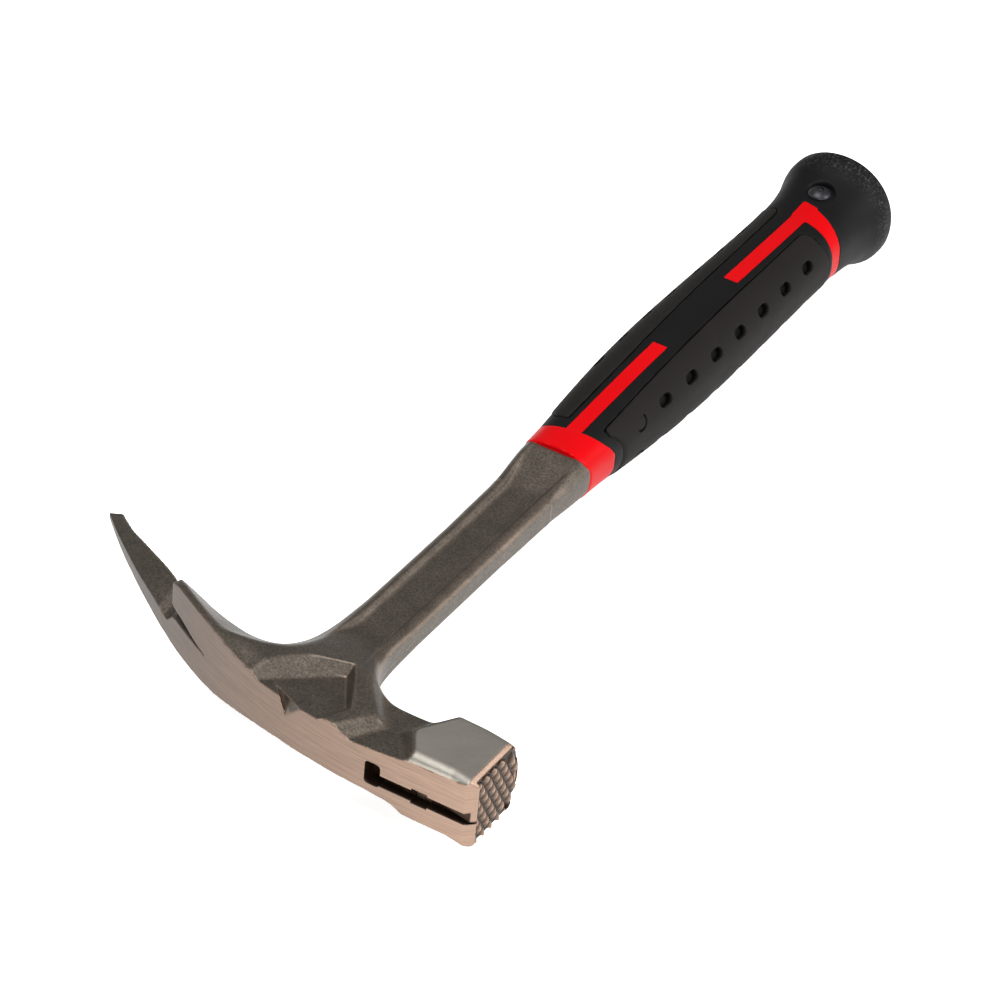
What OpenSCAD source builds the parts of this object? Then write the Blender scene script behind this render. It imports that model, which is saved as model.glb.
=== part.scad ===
// Framing hammer, forged in one piece from the striking face to the tang.
// It lies on its side: +X towards the striking face, +Y along the handle
// towards the pommel, +Z up, out of the cheek that has the side nail puller.
// Every piece is drawn round the handle's middle line, with Y = 0 at the
// head's top, and placed() then moves it to the middle of its own footprint.

/* [Overall] */
// Length from the head's top to the end of the pommel
overall_len = 340; // [310:1:370]
// Distance from the head's top to the front of the grip
grip_start = 152.5; // [146:0.5:170]

/* [Poll and neck] */
// Distance from the handle's middle to the striking face
face_reach = 64; // [60:1:72]
// Width of the striking face
face_w = 23.4; // [21:0.2:27]
// Height of the striking face
face_h = 24.8; // [22:0.2:28]
// Length of the poll at its full width
poll_len = 19; // [15:0.5:22]
// Length over which the poll narrows to the neck
poll_taper = 6; // [4:0.5:8]
// Chamfer along the poll's two lower edges
poll_chamfer = 3.6; // [2:0.1:6]
// Chamfer along the poll's two upper edges
poll_top_chamfer = 1.6; // [0.4:0.1:2.4]
// Chamfer round the striking face
face_chamfer = 1.9; // [1:0.1:2.4]
// Thickness of the neck between poll and cheek
neck_w = 15; // [12:0.2:18]
// Height of the neck, from the head's top to its underside
neck_h = 22.5; // [18:0.5:24]
// Distance between the teeth of the milled face
tooth_pitch = 3.3; // [2.6:0.1:4]
// Depth of the grooves between the teeth
tooth_h = 0.9; // [0.5:0.1:1.4]

/* [Claw] */
// Distance from the handle's middle to the point of the spike
spike_reach = 102.4; // [90:1:115]
// How far the point of the spike lies below the head's top
spike_drop = 66.3; // [56:1:76]
// Distance from the striking face to where the top starts to curve
crown_back = 28; // [24:1:32]
// Width of the claw across both prongs
claw_w = 23.4; // [21:0.2:27]
// Thickness of the spike at its point
spike_tip_t = 4.4; // [3:0.2:6]
// Width of the spike at its point
spike_tip_w = 3; // [2:0.1:5]
// Thickness of the claw along its outer edges
claw_edge_t = 2.6; // [1.6:0.1:4]
// Width of the flat along the claw's underside
claw_ridge_w = 4.4; // [3:0.2:8]
// Width of the spike's top past the short prong
spike_w = 5.2; // [4:0.2:6]
// How far the slot's walls lean in towards the short prong below
slot_lean = 2.4; // [1:0.1:3]
// Distance from the handle's middle to the tip of the short prong
prong_reach = 54; // [48:1:62]
// Distance from the handle's middle to the end of the nail slot
slot_end_x = 34.5; // [30:0.5:40]
// Width of the nail slot at the tip of the short prong
claw_gap = 6.2; // [5:0.2:8]

/* [Cheek and side nail puller] */
// Distance from the handle's middle to the lowest point of the arch
arch_x = 26; // [20:1:30]
// Distance from the head's top to the arch
arch_y = 29.2; // [25:0.1:32]
// Length of the nail puller's cheek where it meets the head's top
cheek_len = 36; // [30:1:40]
// Height of the nail puller's cheek over the handle's middle plane
cheek_z = 10.3; // [9:0.1:11.4]
// Height of the recess's floor at its deep end
recess_floor_z = 6.6; // [5.6:0.1:7.4]
// Height of the recess's floor where it opens onto the head's top
recess_lip_z = 9; // [8.2:0.1:9.6]
// Width of the nail notch where it leaves the recess
notch_w = 8; // [5:0.5:10]
// Height of the notch's point over the handle's middle plane
notch_z = 2.2; // [1:0.1:4]

/* [Nail holder] */
// Distance from the striking face to the rear wall of the nail head's pocket
pocket_back = 35; // [33:0.5:37]
// Length of the nail head's pocket along the head
pocket_len = 5.6; // [5:0.2:7]
// Width of the nail head's pocket
pocket_w = 7.8; // [6.5:0.1:9]
// Depth of the nail head's pocket
pocket_d = 5.4; // [4.6:0.1:7]
// Width of the groove for the nail
groove_w = 3.9; // [3:0.1:4.4]
// Distance by which groove and magnet are set over towards the claw's spike
groove_shift = 1.4; // [0:0.1:1.8]
// Depth of the groove for the nail
groove_d = 3; // [2:0.1:4]
// Distance from the striking face to the middle of the magnet
magnet_back = 17; // [14:0.5:19]
// Side of the square magnet and of its pocket
magnet_w = 5.2; // [4.6:0.1:6]
// Thickness of the magnet
magnet_t = 2.5; // [1.5:0.1:3]

/* [Shank] */
// Width of the shank's broad side
shank_w = 18; // [15:0.2:22]
// Thickness of the shank
shank_t = 8.6; // [7:0.2:11]
// Distance from the head's top to where the shank starts to flare
flare_y = 122; // [112:1:130]
// Width of the sunk panel on the shank
panel_w = 12.4; // [9:0.2:14]
// Chamfer along the shank's edges
shank_chamfer = 1.4; // [0.8:0.1:2]
// Depth of the sunk panel
panel_d = 1.2; // [0.6:0.1:1.8]
// Distance from the head's top to the panel's head end
panel_y = 50; // [46:1:60]
// Distance from the panel's rear end to the grip
panel_back = 12; // [8:0.5:18]
// Width of the tang inside the grip
tang_w = 15; // [12:0.2:17]
// Thickness of the tang inside the grip
tang_t = 7; // [5:0.2:8.6]
// Distance from the tang's end to the end of the pommel
tang_back = 9; // [7:0.5:12]

/* [Grip] */
// Greatest width of the grip
grip_w = 32; // [29:0.2:38]
// Greatest thickness of the grip before the pommel
grip_t = 24.6; // [23:0.2:30]
// Distance by which the grip is set over towards the claw
grip_shift = 0.6; // [0:0.1:1.5]
// Width and thickness of the flared pommel
pommel_w = 39; // [37:0.5:46]
// Thickness of the black sleeve over the red core
sleeve_wall = 2.4; // [1.8:0.1:3]
// Length of the red collar along the grip
collar_len = 9.5; // [7:0.5:13]
// Width of the red stripes
stripe_w = 4.8; // [3.5:0.1:6.5]
// Distance from the grip's front to the end of the lower stripe
lower_stripe_end = 62; // [50:1:72]
// Distance from the grip's front to the start of the upper stripe
upper_stripe_start = 107; // [98:1:118]
// Width of the red band before the pommel
band_w = 7; // [5:0.2:9]
// Distance from the band's middle to the end of the pommel
band_back = 31.5; // [29:0.5:34]

/* [Pads] */
// Distance from the handle's middle line to each pad's edge
pad_edge = 6.2; // [5:0.1:8]
// Thickness of the pads
pad_t = 1.8; // [1.2:0.1:2.2]
// Height by which the pads stand over the sleeve
pad_rise = 0.3; // [0.1:0.05:0.5]
// Gap round each pad
pad_gap = 0.25; // [0.1:0.05:0.4]
// Distance from the grip's front to the pads' front ends
pad_front = 14; // [12:0.5:18]
// Distance from the face-side pad's rear end to the end of the pommel
front_pad_back = 46; // [43:0.5:52]
// Distance from the claw-side pad's rear end to the end of the pommel
back_pad_back = 30; // [28:0.5:42]
// Distance between neighbouring holes
hole_pitch = 15.4; // [13:0.1:16]
// Length of a hole
hole_len = 6; // [4:0.1:8]
// Width of a hole
hole_w = 3.2; // [2:0.1:4]
// Number of holes in each row
hole_count = 7; // [4:1:7]
// Distance from the grip's front to the first hole
hole_start = 42; // [38:0.5:48]
// Angle of the rows round the grip from the narrow side
hole_angle = 32.6; // [25:0.2:40]

/* [Screw] */
// Thread diameter of the grip screw
screw_d = 4; // [3:0.5:5]
// Diameter of the screw's button head
screw_head_d = 7.6; // [6.5:0.1:9.5]
// Height of the button head
screw_head_h = 2.2; // [1.6:0.1:2.8]
// Width of the hexagon socket across its flats
socket_w = 2.5; // [2:0.1:3]
// Diameter of the recess that the head sits in
screw_recess_d = 9.6; // [9.6:0.1:11]
// Depth of the recess below the grip's surface
screw_recess_depth = 2.6; // [2:0.1:3.2]
// Distance from the screw to the end of the pommel
screw_back = 18.5; // [17:0.5:20]
// Outer diameter of the sleeve nut's shaft
nut_d = 6; // [5.5:0.1:7]

/* [Hidden] */
$fn = 48;
// One overrun serves every cut
over = 1;
// Clearance between a pressed-in piece and its seat
seat_gap = 0.05;
steel = "#57514a";
red_plastic = "#d8101e";
black_rubber = "#242424";
pad_rubber = "#3a3735";
bright_steel = "#8c8c8c";

// A point on a cubic curve
function cubic(p, t) =
  pow(1 - t, 3) * p[0] + 3 * pow(1 - t, 2) * t * p[1]
  + 3 * (1 - t) * pow(t, 2) * p[2] + pow(t, 3) * p[3];

// Points along a cubic curve, from t0 to t1
function cubic_run(p, n, t0 = 0, t1 = 1) =
  [for (i = [0 : n]) cubic(p, t0 + (t1 - t0) * i / n)];

// Head's top: straight over the poll, then one curve to the spike's point.
// The shares run from where the curve starts to the point, across and down.
top_curve_shares = [[0, 0], [0.38, 0], [0.708, 0.409], [1, 1]];
crown_x = face_reach - crown_back;
top_span = crown_x + spike_reach;
top_curve = [for (s = top_curve_shares) [crown_x - s[0] * top_span, s[1] * spike_drop]];

poll_back_x = face_reach - poll_len;
face_half = face_w / 2;

// Underside of the claw, from the spike's point to the arch
tip_run_share = 0.9;
tip_drop_share = 0.5;
spike_under = [tip_run_share * spike_tip_t - spike_reach, spike_drop + tip_drop_share * spike_tip_t];
under_shares = [[0, 0], [0.3, 0.42], [0.7, 0.97], [1, 1]];
under_curve = [for (s = under_shares) [
  spike_under[0] - s[0] * (arch_x + spike_under[0]),
  spike_under[1] + s[1] * (arch_y - spike_under[1])]];

// Arch behind the shank: from the claw's underside round to the shank
shank_half = shank_w / 2;
shank_half_t = shank_t / 2;
grip_half_w = grip_w / 2;
grip_half_t = grip_t / 2;
arch_end_y = panel_y + panel_w;
arch_shares = [[0, 0], [0.55, 0], [0.9, 0.24], [1, 1]];
arch_curve = [for (s = arch_shares) [
  -arch_x + s[0] * (arch_x - shank_half),
  arch_y + s[1] * (arch_end_y - arch_y)]];

// Crotch before the shank: from the shank round to the neck's underside
crotch_x_share = 0.75;
crotch_end_x = crown_x * crotch_x_share;
crotch_shares = [[0, 0], [0, 0.46], [0.53, 0.91], [1, 1]];
crotch_curve = [for (s = crotch_shares) [
  shank_half + s[0] * (crotch_end_x - shank_half),
  panel_y + s[1] * (neck_h - panel_y)]];

// Half width of the head's top, at shares of the spike's reach
claw_half = claw_w / 2;
neck_half = neck_w / 2;
claw_width_shares = [[-0.36, 1], [-0.26, 0.88], [-0.13, 0.73], [0, 0.65], [0.35, 0.64]];
function claw_half_at(x) = claw_half * lookup(x / spike_reach, claw_width_shares);

// Stations run from 0 at the spike's point to 1 above the arch. Each has a
// point on the head's top and one on the underside, square to the curve.
arch_station_share = 0.45;
station_count = 40;
station_shares = [for (i = [0 : station_count]) i / station_count];
function top_at(w) = cubic(top_curve, 1 - (1 - arch_station_share) * w);
function under_at(w) = cubic(under_curve, w);
function station(x) = lookup(x, [for (w = station_shares) [top_at(w)[0], w]]);

// Inner edges of the slot on the head's top, and how far they lean in below
slot_root_share = 0.38;
slot_mid_share = 0.44;
prong_inner_share = 0.22;
slot_root_z = -slot_root_share * claw_gap;
prong_inner_z = prong_inner_share * claw_gap;
slot_mid_x = (slot_end_x + prong_reach) / 2;
spike_mid_x = (prong_reach + spike_reach) / 2;
spike_edge = [
  [-spike_reach, spike_tip_w - claw_half], [-spike_mid_x, spike_w - claw_half],
  [-prong_reach, prong_inner_z - claw_gap], [-slot_mid_x, -slot_mid_share * claw_gap],
  [-slot_end_x, slot_root_z]];
prong_edge = [[-prong_reach, prong_inner_z], [-slot_end_x, slot_root_z]];
lean_shares = [[-1, -0.5], [-0.8, 0.4], [-0.55, 1], [-0.34, 0.75]];
ridge_shares = [[-1, 0.5], [-0.8, 0.6], [-0.55, 0.8], [-0.34, 1]];
prong_low_share = 0.3;
ridge_half = claw_ridge_w / 2;

// Point below the outer edge, where the thin edge meets the sloped side
edge_limit_share = 0.85;
function side_of(top, under, edge) =
  top + (under - top) * min(edge / norm(under - top), edge_limit_share);

// Spike: its outer edge, its inner edge, and a narrow ridge below
function spike_section(w) =
  let (
    top = top_at(w), under = under_at(w), side = side_of(top, under, claw_edge_t),
    share = top[0] / spike_reach,
    inner = lookup(top[0], spike_edge),
    low = inner + slot_lean * lookup(share, lean_shares),
    ridge = low - ridge_half * lookup(share, ridge_shares)
  )
  [
    [top[0], top[1], -claw_half_at(top[0])], [top[0], top[1], inner],
    [under[0], under[1], low], [under[0], under[1], ridge],
    [side[0], side[1], -claw_half_at(top[0])]
  ];

// Short prong on the other side of the slot
function prong_section(w) =
  let (
    top = top_at(w), under = under_at(w), side = side_of(top, under, claw_edge_t),
    inner = lookup(top[0], prong_edge),
    low = inner + prong_low_share * slot_lean
  )
  [
    [top[0], top[1], inner], [top[0], top[1], claw_half_at(top[0])],
    [side[0], side[1], claw_half_at(top[0])], [under[0], under[1], low + ridge_half / 2],
    [under[0], under[1], low]
  ];

// Head bar from the slot's root over the arch to the poll. Past the arch its
// sides stand upright and only its lower corners are cut off.
function bar_section(top, under, edge, ridge) =
  let (half = claw_half_at(top[0]), side = side_of(top, under, edge))
  [
    [top[0], top[1], -half], [top[0], top[1], half],
    [side[0], side[1], half], [under[0], under[1], ridge],
    [under[0], under[1], -ridge], [side[0], side[1], -half]
  ];

claw_count = 12;
prong_count = 6;
bar_count = 6;
prong_start_share = 0.8;
root_w = station(-slot_end_x);
prong_w = station(-prong_reach);
prong_start_w = prong_start_share * prong_w;
spike_sections = [for (i = [0 : claw_count]) spike_section(root_w * i / claw_count)];
prong_sections = [for (i = [0 : prong_count])
  prong_section(prong_start_w + (root_w - prong_start_w) * i / prong_count)];
neck_edge = neck_h - claw_edge_t;
neck_ridge = neck_half - claw_edge_t / 2;
upright_share = 0.5;
bar_sections = concat(
  [for (i = [0 : bar_count])
    let (w = root_w + (1 - root_w) * i / bar_count)
    bar_section(top_at(w), under_at(w), claw_edge_t, ridge_half)],
  [for (i = [1 : bar_count])
    let (w = i / bar_count, grown = min(1, w / upright_share))
    bar_section(
      cubic(top_curve, arch_station_share * (1 - w)),
      [-arch_x + w * (crown_x + arch_x), arch_y + w * (neck_h - arch_y)],
      claw_edge_t + (neck_edge - claw_edge_t) * grown,
      ridge_half + (neck_ridge - ridge_half) * grown)],
  [bar_section([poll_back_x, 0], [poll_back_x, neck_h], neck_edge, neck_ridge)]);

// Shank from inside the head to the flare: wide and thick where it leaves the
// head, between the arch and the crotch, and a plain bar further down
shank_count = 10;
crotch_count = 4;
curve_count = 12;
crotch_points = [for (p = cubic_run(crotch_curve, 2 * curve_count)) [p[1], p[0]]];
inner_thick_share = 0.8;
thick_rows = [[arch_y, neck_half * inner_thick_share], [panel_y, shank_half_t]];
edge_rows = [[arch_y, ridge_half], [panel_y, shank_half_t - shank_chamfer]];
slope_rows = [[neck_h, shank_chamfer], [arch_y, arch_x - neck_half], [panel_y, shank_chamfer]];
function shank_section(left, y) =
  let (
    right = lookup(y, crotch_points),
    h = lookup(y, thick_rows), e = lookup(y, edge_rows),
    c = lookup(y, slope_rows), k = shank_chamfer
  )
  [
    [left, y, -e], [left + c, y, -h], [right - k, y, -h], [right, y, k - h],
    [right, y, h - k], [right - k, y, h], [left + c, y, h], [left, y, e]
  ];
shank_sections = concat(
  [for (i = [0 : crotch_count - 1])
    shank_section(-neck_half, neck_h + (arch_y - neck_h) * pow(i / crotch_count, 2))],
  [for (i = [0 : shank_count])
    let (p = cubic(arch_curve, i / shank_count))
    shank_section(p[0], p[1])],
  [shank_section(-shank_half, flare_y)]);

// A closed solid through a list of sections that have equally many points
module skin(sections) {
  m = len(sections[0]);
  n = len(sections);
  points = [for (s = sections) for (p = s) p];
  sides = [for (i = [0 : n - 2]) for (j = [0 : m - 1])
    let (a = i * m + j, b = i * m + (j + 1) % m, c = a + m, d = b + m)
    each [[a, b, d], [a, d, c]]];
  first = [for (j = [1 : m - 2]) [0, j + 1, j]];
  last = [for (j = [1 : m - 2]) [(n - 1) * m, (n - 1) * m + j, (n - 1) * m + j + 1]];
  polyhedron(points = points, faces = concat(sides, first, last));
}

// Moves a piece from the handle's middle line to the part's origin
rest_z = pommel_w / 2;
module placed() {
  translate([(spike_reach - face_reach) / 2, -overall_len / 2, rest_z])
    children();
}

// Extrudes an outline of [along the handle, height] across the head
module across(from_x, to_x) {
  translate([from_x, 0, 0])
    rotate([90, 0, 90])
      linear_extrude(height = to_x - from_x)
        children();
}

// Extrudes an outline of [across, height] along the handle
module along(from_y, to_y) {
  translate([0, to_y, 0])
    rotate([90, 0, 0])
      linear_extrude(height = to_y - from_y)
        children();
}

// Extrudes a side outline between two heights
module upright(from_z, to_z) {
  translate([0, 0, from_z])
    linear_extrude(height = to_z - from_z)
      children();
}

// Poll: an eight-sided block that a cone blends into the neck, with a chamfer
// round the striking face
cone_foot_share = 0.6;
cone_rim_share = 1.41;
cone_foot_x = poll_back_x - 2 * poll_taper;
module poll() {
  c = poll_chamfer;
  t = poll_top_chamfer;
  f = face_chamfer;
  intersection() {
    across(cone_foot_x, face_reach)
      polygon([
        [0, t - face_half], [0, face_half - t], [t, face_half],
        [face_h - c, face_half], [face_h, face_half - c],
        [face_h, c - face_half], [face_h - c, -face_half], [t, -face_half]]);
    along(-over, face_h + over)
      polygon([
        [cone_foot_x, -face_half],
        [face_reach - f, -face_half], [face_reach, f - face_half],
        [face_reach, face_half - f], [face_reach - f, face_half],
        [cone_foot_x, face_half]]);
    upright(-face_half, face_half)
      polygon([
        [cone_foot_x, 0], [face_reach - f, 0], [face_reach, f],
        [face_reach, face_h - f], [face_reach - f, face_h],
        [cone_foot_x, face_h]]);
    translate([cone_foot_x, face_h / 2, 0])
      rotate([0, 90, 0]) {
        cylinder(r1 = cone_foot_share * face_half, r2 = cone_rim_share * face_half, h = 2 * poll_taper);
        translate([0, 0, 2 * poll_taper])
          cylinder(r = face_h, h = poll_len + over);
      }
  }
}

// Short prong, with its end cut straight across the head
module prong() {
  intersection() {
    skin(prong_sections);
    upright(-claw_w, claw_w)
      translate([-prong_reach, 0])
        square([prong_reach, spike_drop]);
  }
}

// Side nail puller's cheek: a raised field with sloped sides. The shares give
// its corners in cheek_len along the head and in arch_y down from its top.
cheek_top_shares = [
  [-0.5, -0.04], [-0.47, 0.4], [-0.25, 0.9], [0.22, 1.1],
  [0.52, 0.96], [0.68, 0.37], [0.56, 0.2], [0.48, -0.04]];
cheek_foot_shares = [
  [-0.8, -0.04], [-0.8, 0.55], [-0.5, 1.3], [0.16, 1.75],
  [0.66, 1.5], [0.8, 0.34], [0.66, 0.16], [0.58, -0.04]];
function head_ring(shares, z) = [for (s = shares) [s[0] * cheek_len, s[1] * arch_y, z]];
cheek_top_end_share = 0.6;
cheek_under_start_share = 0.75;
module side_outline() {
  polygon(concat(
    cubic_run(top_curve, curve_count, 0, cheek_top_end_share),
    cubic_run(under_curve, curve_count, cheek_under_start_share, 1),
    cubic_run(arch_curve, curve_count), cubic_run(crotch_curve, curve_count),
    [[crown_x, neck_h]]));
}
module cheek_field() {
  intersection() {
    hull()
      skin([head_ring(cheek_foot_shares, shank_half_t), head_ring(cheek_top_shares, cheek_z)]);
    upright(0, cheek_z + over)
      side_outline();
  }
}

// Recess of the nail puller, open to the head's top. Its floor slopes down
// from the lip to its deep end, and its walls slope out to the rim.
recess_rim_shares = [
  [-0.46, -0.3], [-0.44, 0.36], [-0.2, 0.81], [0.21, 1.06], [0.5, 0.31], [0.44, -0.3]];
recess_floor_shares = [
  [-0.27, -0.3], [-0.26, 0.32], [-0.14, 0.76], [0.17, 1], [0.44, 0.37], [0.37, -0.3]];
module side_recess() {
  rim = head_ring(recess_rim_shares, cheek_z + over);
  bottom = [for (s = recess_floor_shares) [
    s[0] * cheek_len, s[1] * arch_y, recess_lip_z + s[1] * (recess_floor_z - recess_lip_z)]];
  hull()
    skin([bottom, rim]);
}

// V notch from the head's top into the recess, where it runs out
notch_x_share = -0.03;
notch_lean_share = 0.38;
notch_run_share = 0.5;
notch_end_share = 0.1;
module side_notch() {
  x = notch_x_share * cheek_len;
  high = cheek_z + over;
  wide = notch_w * (high - notch_z) / (recess_lip_z - notch_z);
  end_y = notch_run_share * arch_y;
  skin([
    [[x, -over, notch_z], [x + (1 - notch_lean_share) * wide, -over, high],
     [x - notch_lean_share * wide, -over, high]],
    [[x, end_y, recess_lip_z], [x + notch_end_share * wide, end_y, high],
     [x - notch_end_share * wide, end_y, high]]]);
}

// Nail holder in the head's top: pocket for the nail's head, groove for its
// shank, and a pocket for the magnet under the groove
magnet_x = face_reach - magnet_back;
pocket_x = face_reach - pocket_back;
module nail_holder_cut() {
  translate([pocket_x, -over, -pocket_w / 2])
    cube([pocket_len, pocket_d + over, pocket_w]);
  translate([pocket_x + over, -over, -groove_shift - groove_w / 2])
    cube([pocket_back, groove_d + over, groove_w]);
  translate([magnet_x - magnet_w / 2, -over, -groove_shift - magnet_w / 2])
    cube([magnet_w, groove_d + magnet_t + over, magnet_w]);
}

// Milled face: two sets of V grooves at right angles, square to the edges
module face_grooves() {
  for (turn = [0, 90]) {
    span = turn == 0 ? face_w : face_h;
    field = (turn == 0 ? face_h : face_w) - 2 * face_chamfer;
    rows = floor((span / 2 - face_chamfer) / tooth_pitch);
    translate([face_reach, face_h / 2, 0])
      rotate([turn, 0, 0])
        for (k = [-rows : rows])
          translate([0, 0, k * tooth_pitch])
            rotate([90, 0, 0])
              linear_extrude(height = field, center = true)
                polygon([[-tooth_h, 0], [over, -tooth_h - over], [over, tooth_h + over]]);
  }
}

// Sunk panel with sloped sides, on both broad sides of the shank
panel_slope = panel_d;
module panel_cut() {
  end_y = grip_start - panel_back;
  half = panel_w / 2;
  floor_half = half - panel_slope;
  floor_z = shank_half_t - panel_d;
  run = shank_t;
  high = floor_z + 2 * panel_slope;
  skin([
    [[-half - panel_slope, panel_y - panel_slope, high], [half + panel_slope, panel_y - panel_slope, high],
     [half + panel_slope, end_y + run, grip_half_t], [-half - panel_slope, end_y + run, grip_half_t]],
    [[-floor_half, panel_y, floor_z], [floor_half, panel_y, floor_z],
     [floor_half, end_y - run, floor_z], [-floor_half, end_y - run, floor_z]]]);
}

// Outline of the grip: share of its length, then shares of half width and
// half thickness. The last rows are the pommel's flare and its crown.
grip_len = overall_len - grip_start;
grip_shares = [
  [0, 0.745, 0.75], [0.052, 0.775, 0.78], [0.1, 0.81, 0.82], [0.15, 0.86, 0.87],
  [0.21, 0.915, 0.92], [0.29, 0.97, 0.975], [0.41, 1, 1], [0.55, 0.99, 0.99],
  [0.65, 0.97, 0.975], [0.74, 0.955, 0.965], [0.8, 0.955, 0.965], [0.835, 0.965, 0.975]];
pommel_shares = [
  [0.865, 0.07], [0.89, 0.16], [0.915, 0.32], [0.937, 0.53], [0.955, 0.78], [0.968, 0.95],
  [0.979, 1], [0.988, 0.95], [0.996, 0.75], [1, 0.4]];
pommel_half = pommel_w / 2;
pommel_power = 2.1;
neck_shares = grip_shares[len(grip_shares) - 1];
crown_start_share = 0.97;

// Flare of the shank: sections that grow from the bar to the grip's front.
// Each row: share of the flare's length, then share of both size changes.
section_count = 40;
bar_power = 5;
grip_power = 2.5;
function oval(y, x, half_w, half_t, power) =
  [for (i = [0 : section_count - 1])
    let (a = 360 * i / section_count, c = cos(a), s = sin(a))
    [
      x + half_w * sign(c) * pow(abs(c), 2 / power), y,
      half_t * sign(s) * pow(abs(s), 2 / power)
    ]];
collar_step = 0.7;
grip_front_share = [grip_shares[0][1], grip_shares[0][2]];
bolster_half_w = grip_half_w * grip_front_share[0] - collar_step;
bolster_half_t = grip_half_t * grip_front_share[1] - collar_step;
flare_shares = [[-0.1, 0], [0, 0], [0.25, 0.07], [0.5, 0.3], [0.75, 0.66], [1, 1]];
module flare() {
  span = grip_start - flare_y;
  skin([for (s = flare_shares) oval(
    flare_y + s[0] * span, -grip_shift * s[1],
    shank_half + s[1] * (bolster_half_w - shank_half),
    shank_half_t + s[1] * (bolster_half_t - shank_half_t),
    bar_power + s[1] * (grip_power - bar_power))]);
}

// Tang inside the grip, with the hole that the nut passes through
tang_end = overall_len - tang_back;
screw_y = overall_len - screw_back;
module tang_shape(grow) {
  translate([-grip_shift, (grip_start + tang_end) / 2, 0])
    cube([tang_w + 2 * grow, tang_end - grip_start, tang_t + 2 * grow], center = true);
}

module forged_body() {
  color(steel)
    placed()
      difference() {
        union() {
          poll();
          skin(spike_sections);
          prong();
          skin(bar_sections);
          skin(shank_sections);
          cheek_field();
          flare();
          tang_shape(0);
          translate([-grip_shift - tang_w / 2, grip_start - over, -tang_t / 2])
            cube([tang_w, 2 * over, tang_t]);
        }
        side_recess();
        side_notch();
        nail_holder_cut();
        face_grooves();
        panel_cut();
        mirror([0, 0, 1])
          panel_cut();
        translate([-grip_shift, screw_y, 0])
          cylinder(d = nut_d + 2 * seat_gap, h = tang_t + 2 * over, center = true);
      }
}

module nail_magnet() {
  side = magnet_w - 2 * seat_gap;
  color(bright_steel)
    placed()
      translate([magnet_x - side / 2, groove_d, -groove_shift - side / 2])
        cube([side, magnet_t, side]);
}

function grip_sections(inset) = concat(
  [for (s = grip_shares) oval(
    grip_start + s[0] * grip_len, -grip_shift,
    s[1] * grip_half_w - inset, s[2] * grip_half_t - inset, grip_power)],
  [for (s = pommel_shares)
    let (
      w = neck_shares[1] * grip_half_w,
      t = neck_shares[2] * grip_half_t
    )
    oval(
      grip_start + s[0] * grip_len
        - inset * max(0, s[0] - crown_start_share) / (1 - crown_start_share),
      -grip_shift,
      w + s[1] * (pommel_half - w) - inset,
      t + s[1] * (pommel_half - t) - inset,
      grip_power + s[1] * (pommel_power - grip_power))]);
module grip_solid(inset) {
  skin(grip_sections(inset));
}

// Where the red core comes up to the surface: collar, stripes and half band
band_y = overall_len - band_back;
band_lean = band_w;
module red_places(grow) {
  reach = pommel_w;
  translate([-reach, grip_start - over, -reach])
    cube([2 * reach, collar_len + over + grow, 2 * reach]);
  for (side = [-1, 1]) {
    translate([-grip_shift - stripe_w / 2 - grow, grip_start, 0])
      mirror([0, 0, side < 0 ? 1 : 0]) {
        cube([stripe_w + 2 * grow, lower_stripe_end + grow, reach]);
        translate([0, upper_stripe_start - grow, 0])
          cube([stripe_w + 2 * grow, band_y - grip_start - upper_stripe_start + grow, reach]);
      }
  }
  upright(-reach, reach)
    polygon([
      [-grip_shift - stripe_w / 2 - grow, band_y - band_w / 2 + grow],
      [-grip_shift - stripe_w / 2 - grow, band_y + band_w / 2 + grow],
      [reach, band_y + band_w / 2 - band_lean + grow],
      [reach, band_y - band_w / 2 - band_lean - grow],
      [stripe_w / 2 - grip_shift, band_y - band_w / 2 - grow]]);
}

core_end = band_y + band_w;
module grip_core() {
  color(red_plastic)
    placed()
      difference() {
        union() {
          intersection() {
            grip_solid(sleeve_wall);
            translate([-pommel_w, grip_start, -pommel_w])
              cube([2 * pommel_w, core_end - grip_start, 2 * pommel_w]);
          }
          intersection() {
            grip_solid(0);
            red_places(0);
          }
        }
        tang_shape(seat_gap);
      }
}

// Outline of a pad seen from the broad side; the rest of it wraps round the
// narrow side. Its front end and its rear end lean like the collar.
pad_lean = collar_len / 2;
module pad_outline(rear_y, grow) {
  far = pommel_w;
  front_y = grip_start + pad_front;
  offset(delta = grow)
    polygon([
      [pad_edge + pad_lean / 2, front_y], [far, front_y + far * pad_lean / grip_w],
      [far, rear_y + pad_lean / 2], [pad_edge + pad_lean / 2, rear_y],
      [pad_edge, rear_y - pad_lean / 2], [pad_edge, front_y + 2 * pad_lean]]);
}

// Hole rows: each hole is a rounded slot that points at the handle's middle
module hole_row(side) {
  for (k = [0 : hole_count - 1]) {
    translate([0, grip_start + hole_start + k * hole_pitch, 0])
      rotate([0, side * -hole_angle, 0])
        translate([grip_half_t - pad_t, 0, 0])
          rotate([0, 90, 0])
            linear_extrude(height = grip_half_w)
              hull() {
                translate([0, (hole_len - hole_w) / 2])
                  circle(d = hole_w, $fn = 16);
                translate([0, -(hole_len - hole_w) / 2])
                  circle(d = hole_w, $fn = 16);
              }
  }
}

module pad_shell(rear_y) {
  intersection() {
    difference() {
      grip_solid(-pad_rise);
      grip_solid(pad_t);
    }
    upright(-pommel_w, pommel_w)
      pad_outline(rear_y, 0);
  }
}

module pad(rear_y) {
  color(pad_rubber)
    difference() {
      pad_shell(rear_y);
      hole_row(1);
      hole_row(-1);
    }
}

// Mirrors what is drawn for the face's side over to the claw's side
module claw_side() {
  translate([-2 * grip_shift, 0, 0])
    mirror([1, 0, 0])
      children();
}

module front_pad() {
  placed()
    pad(overall_len - front_pad_back);
}

module back_pad() {
  placed()
    claw_side()
      pad(overall_len - back_pad_back);
}

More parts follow.
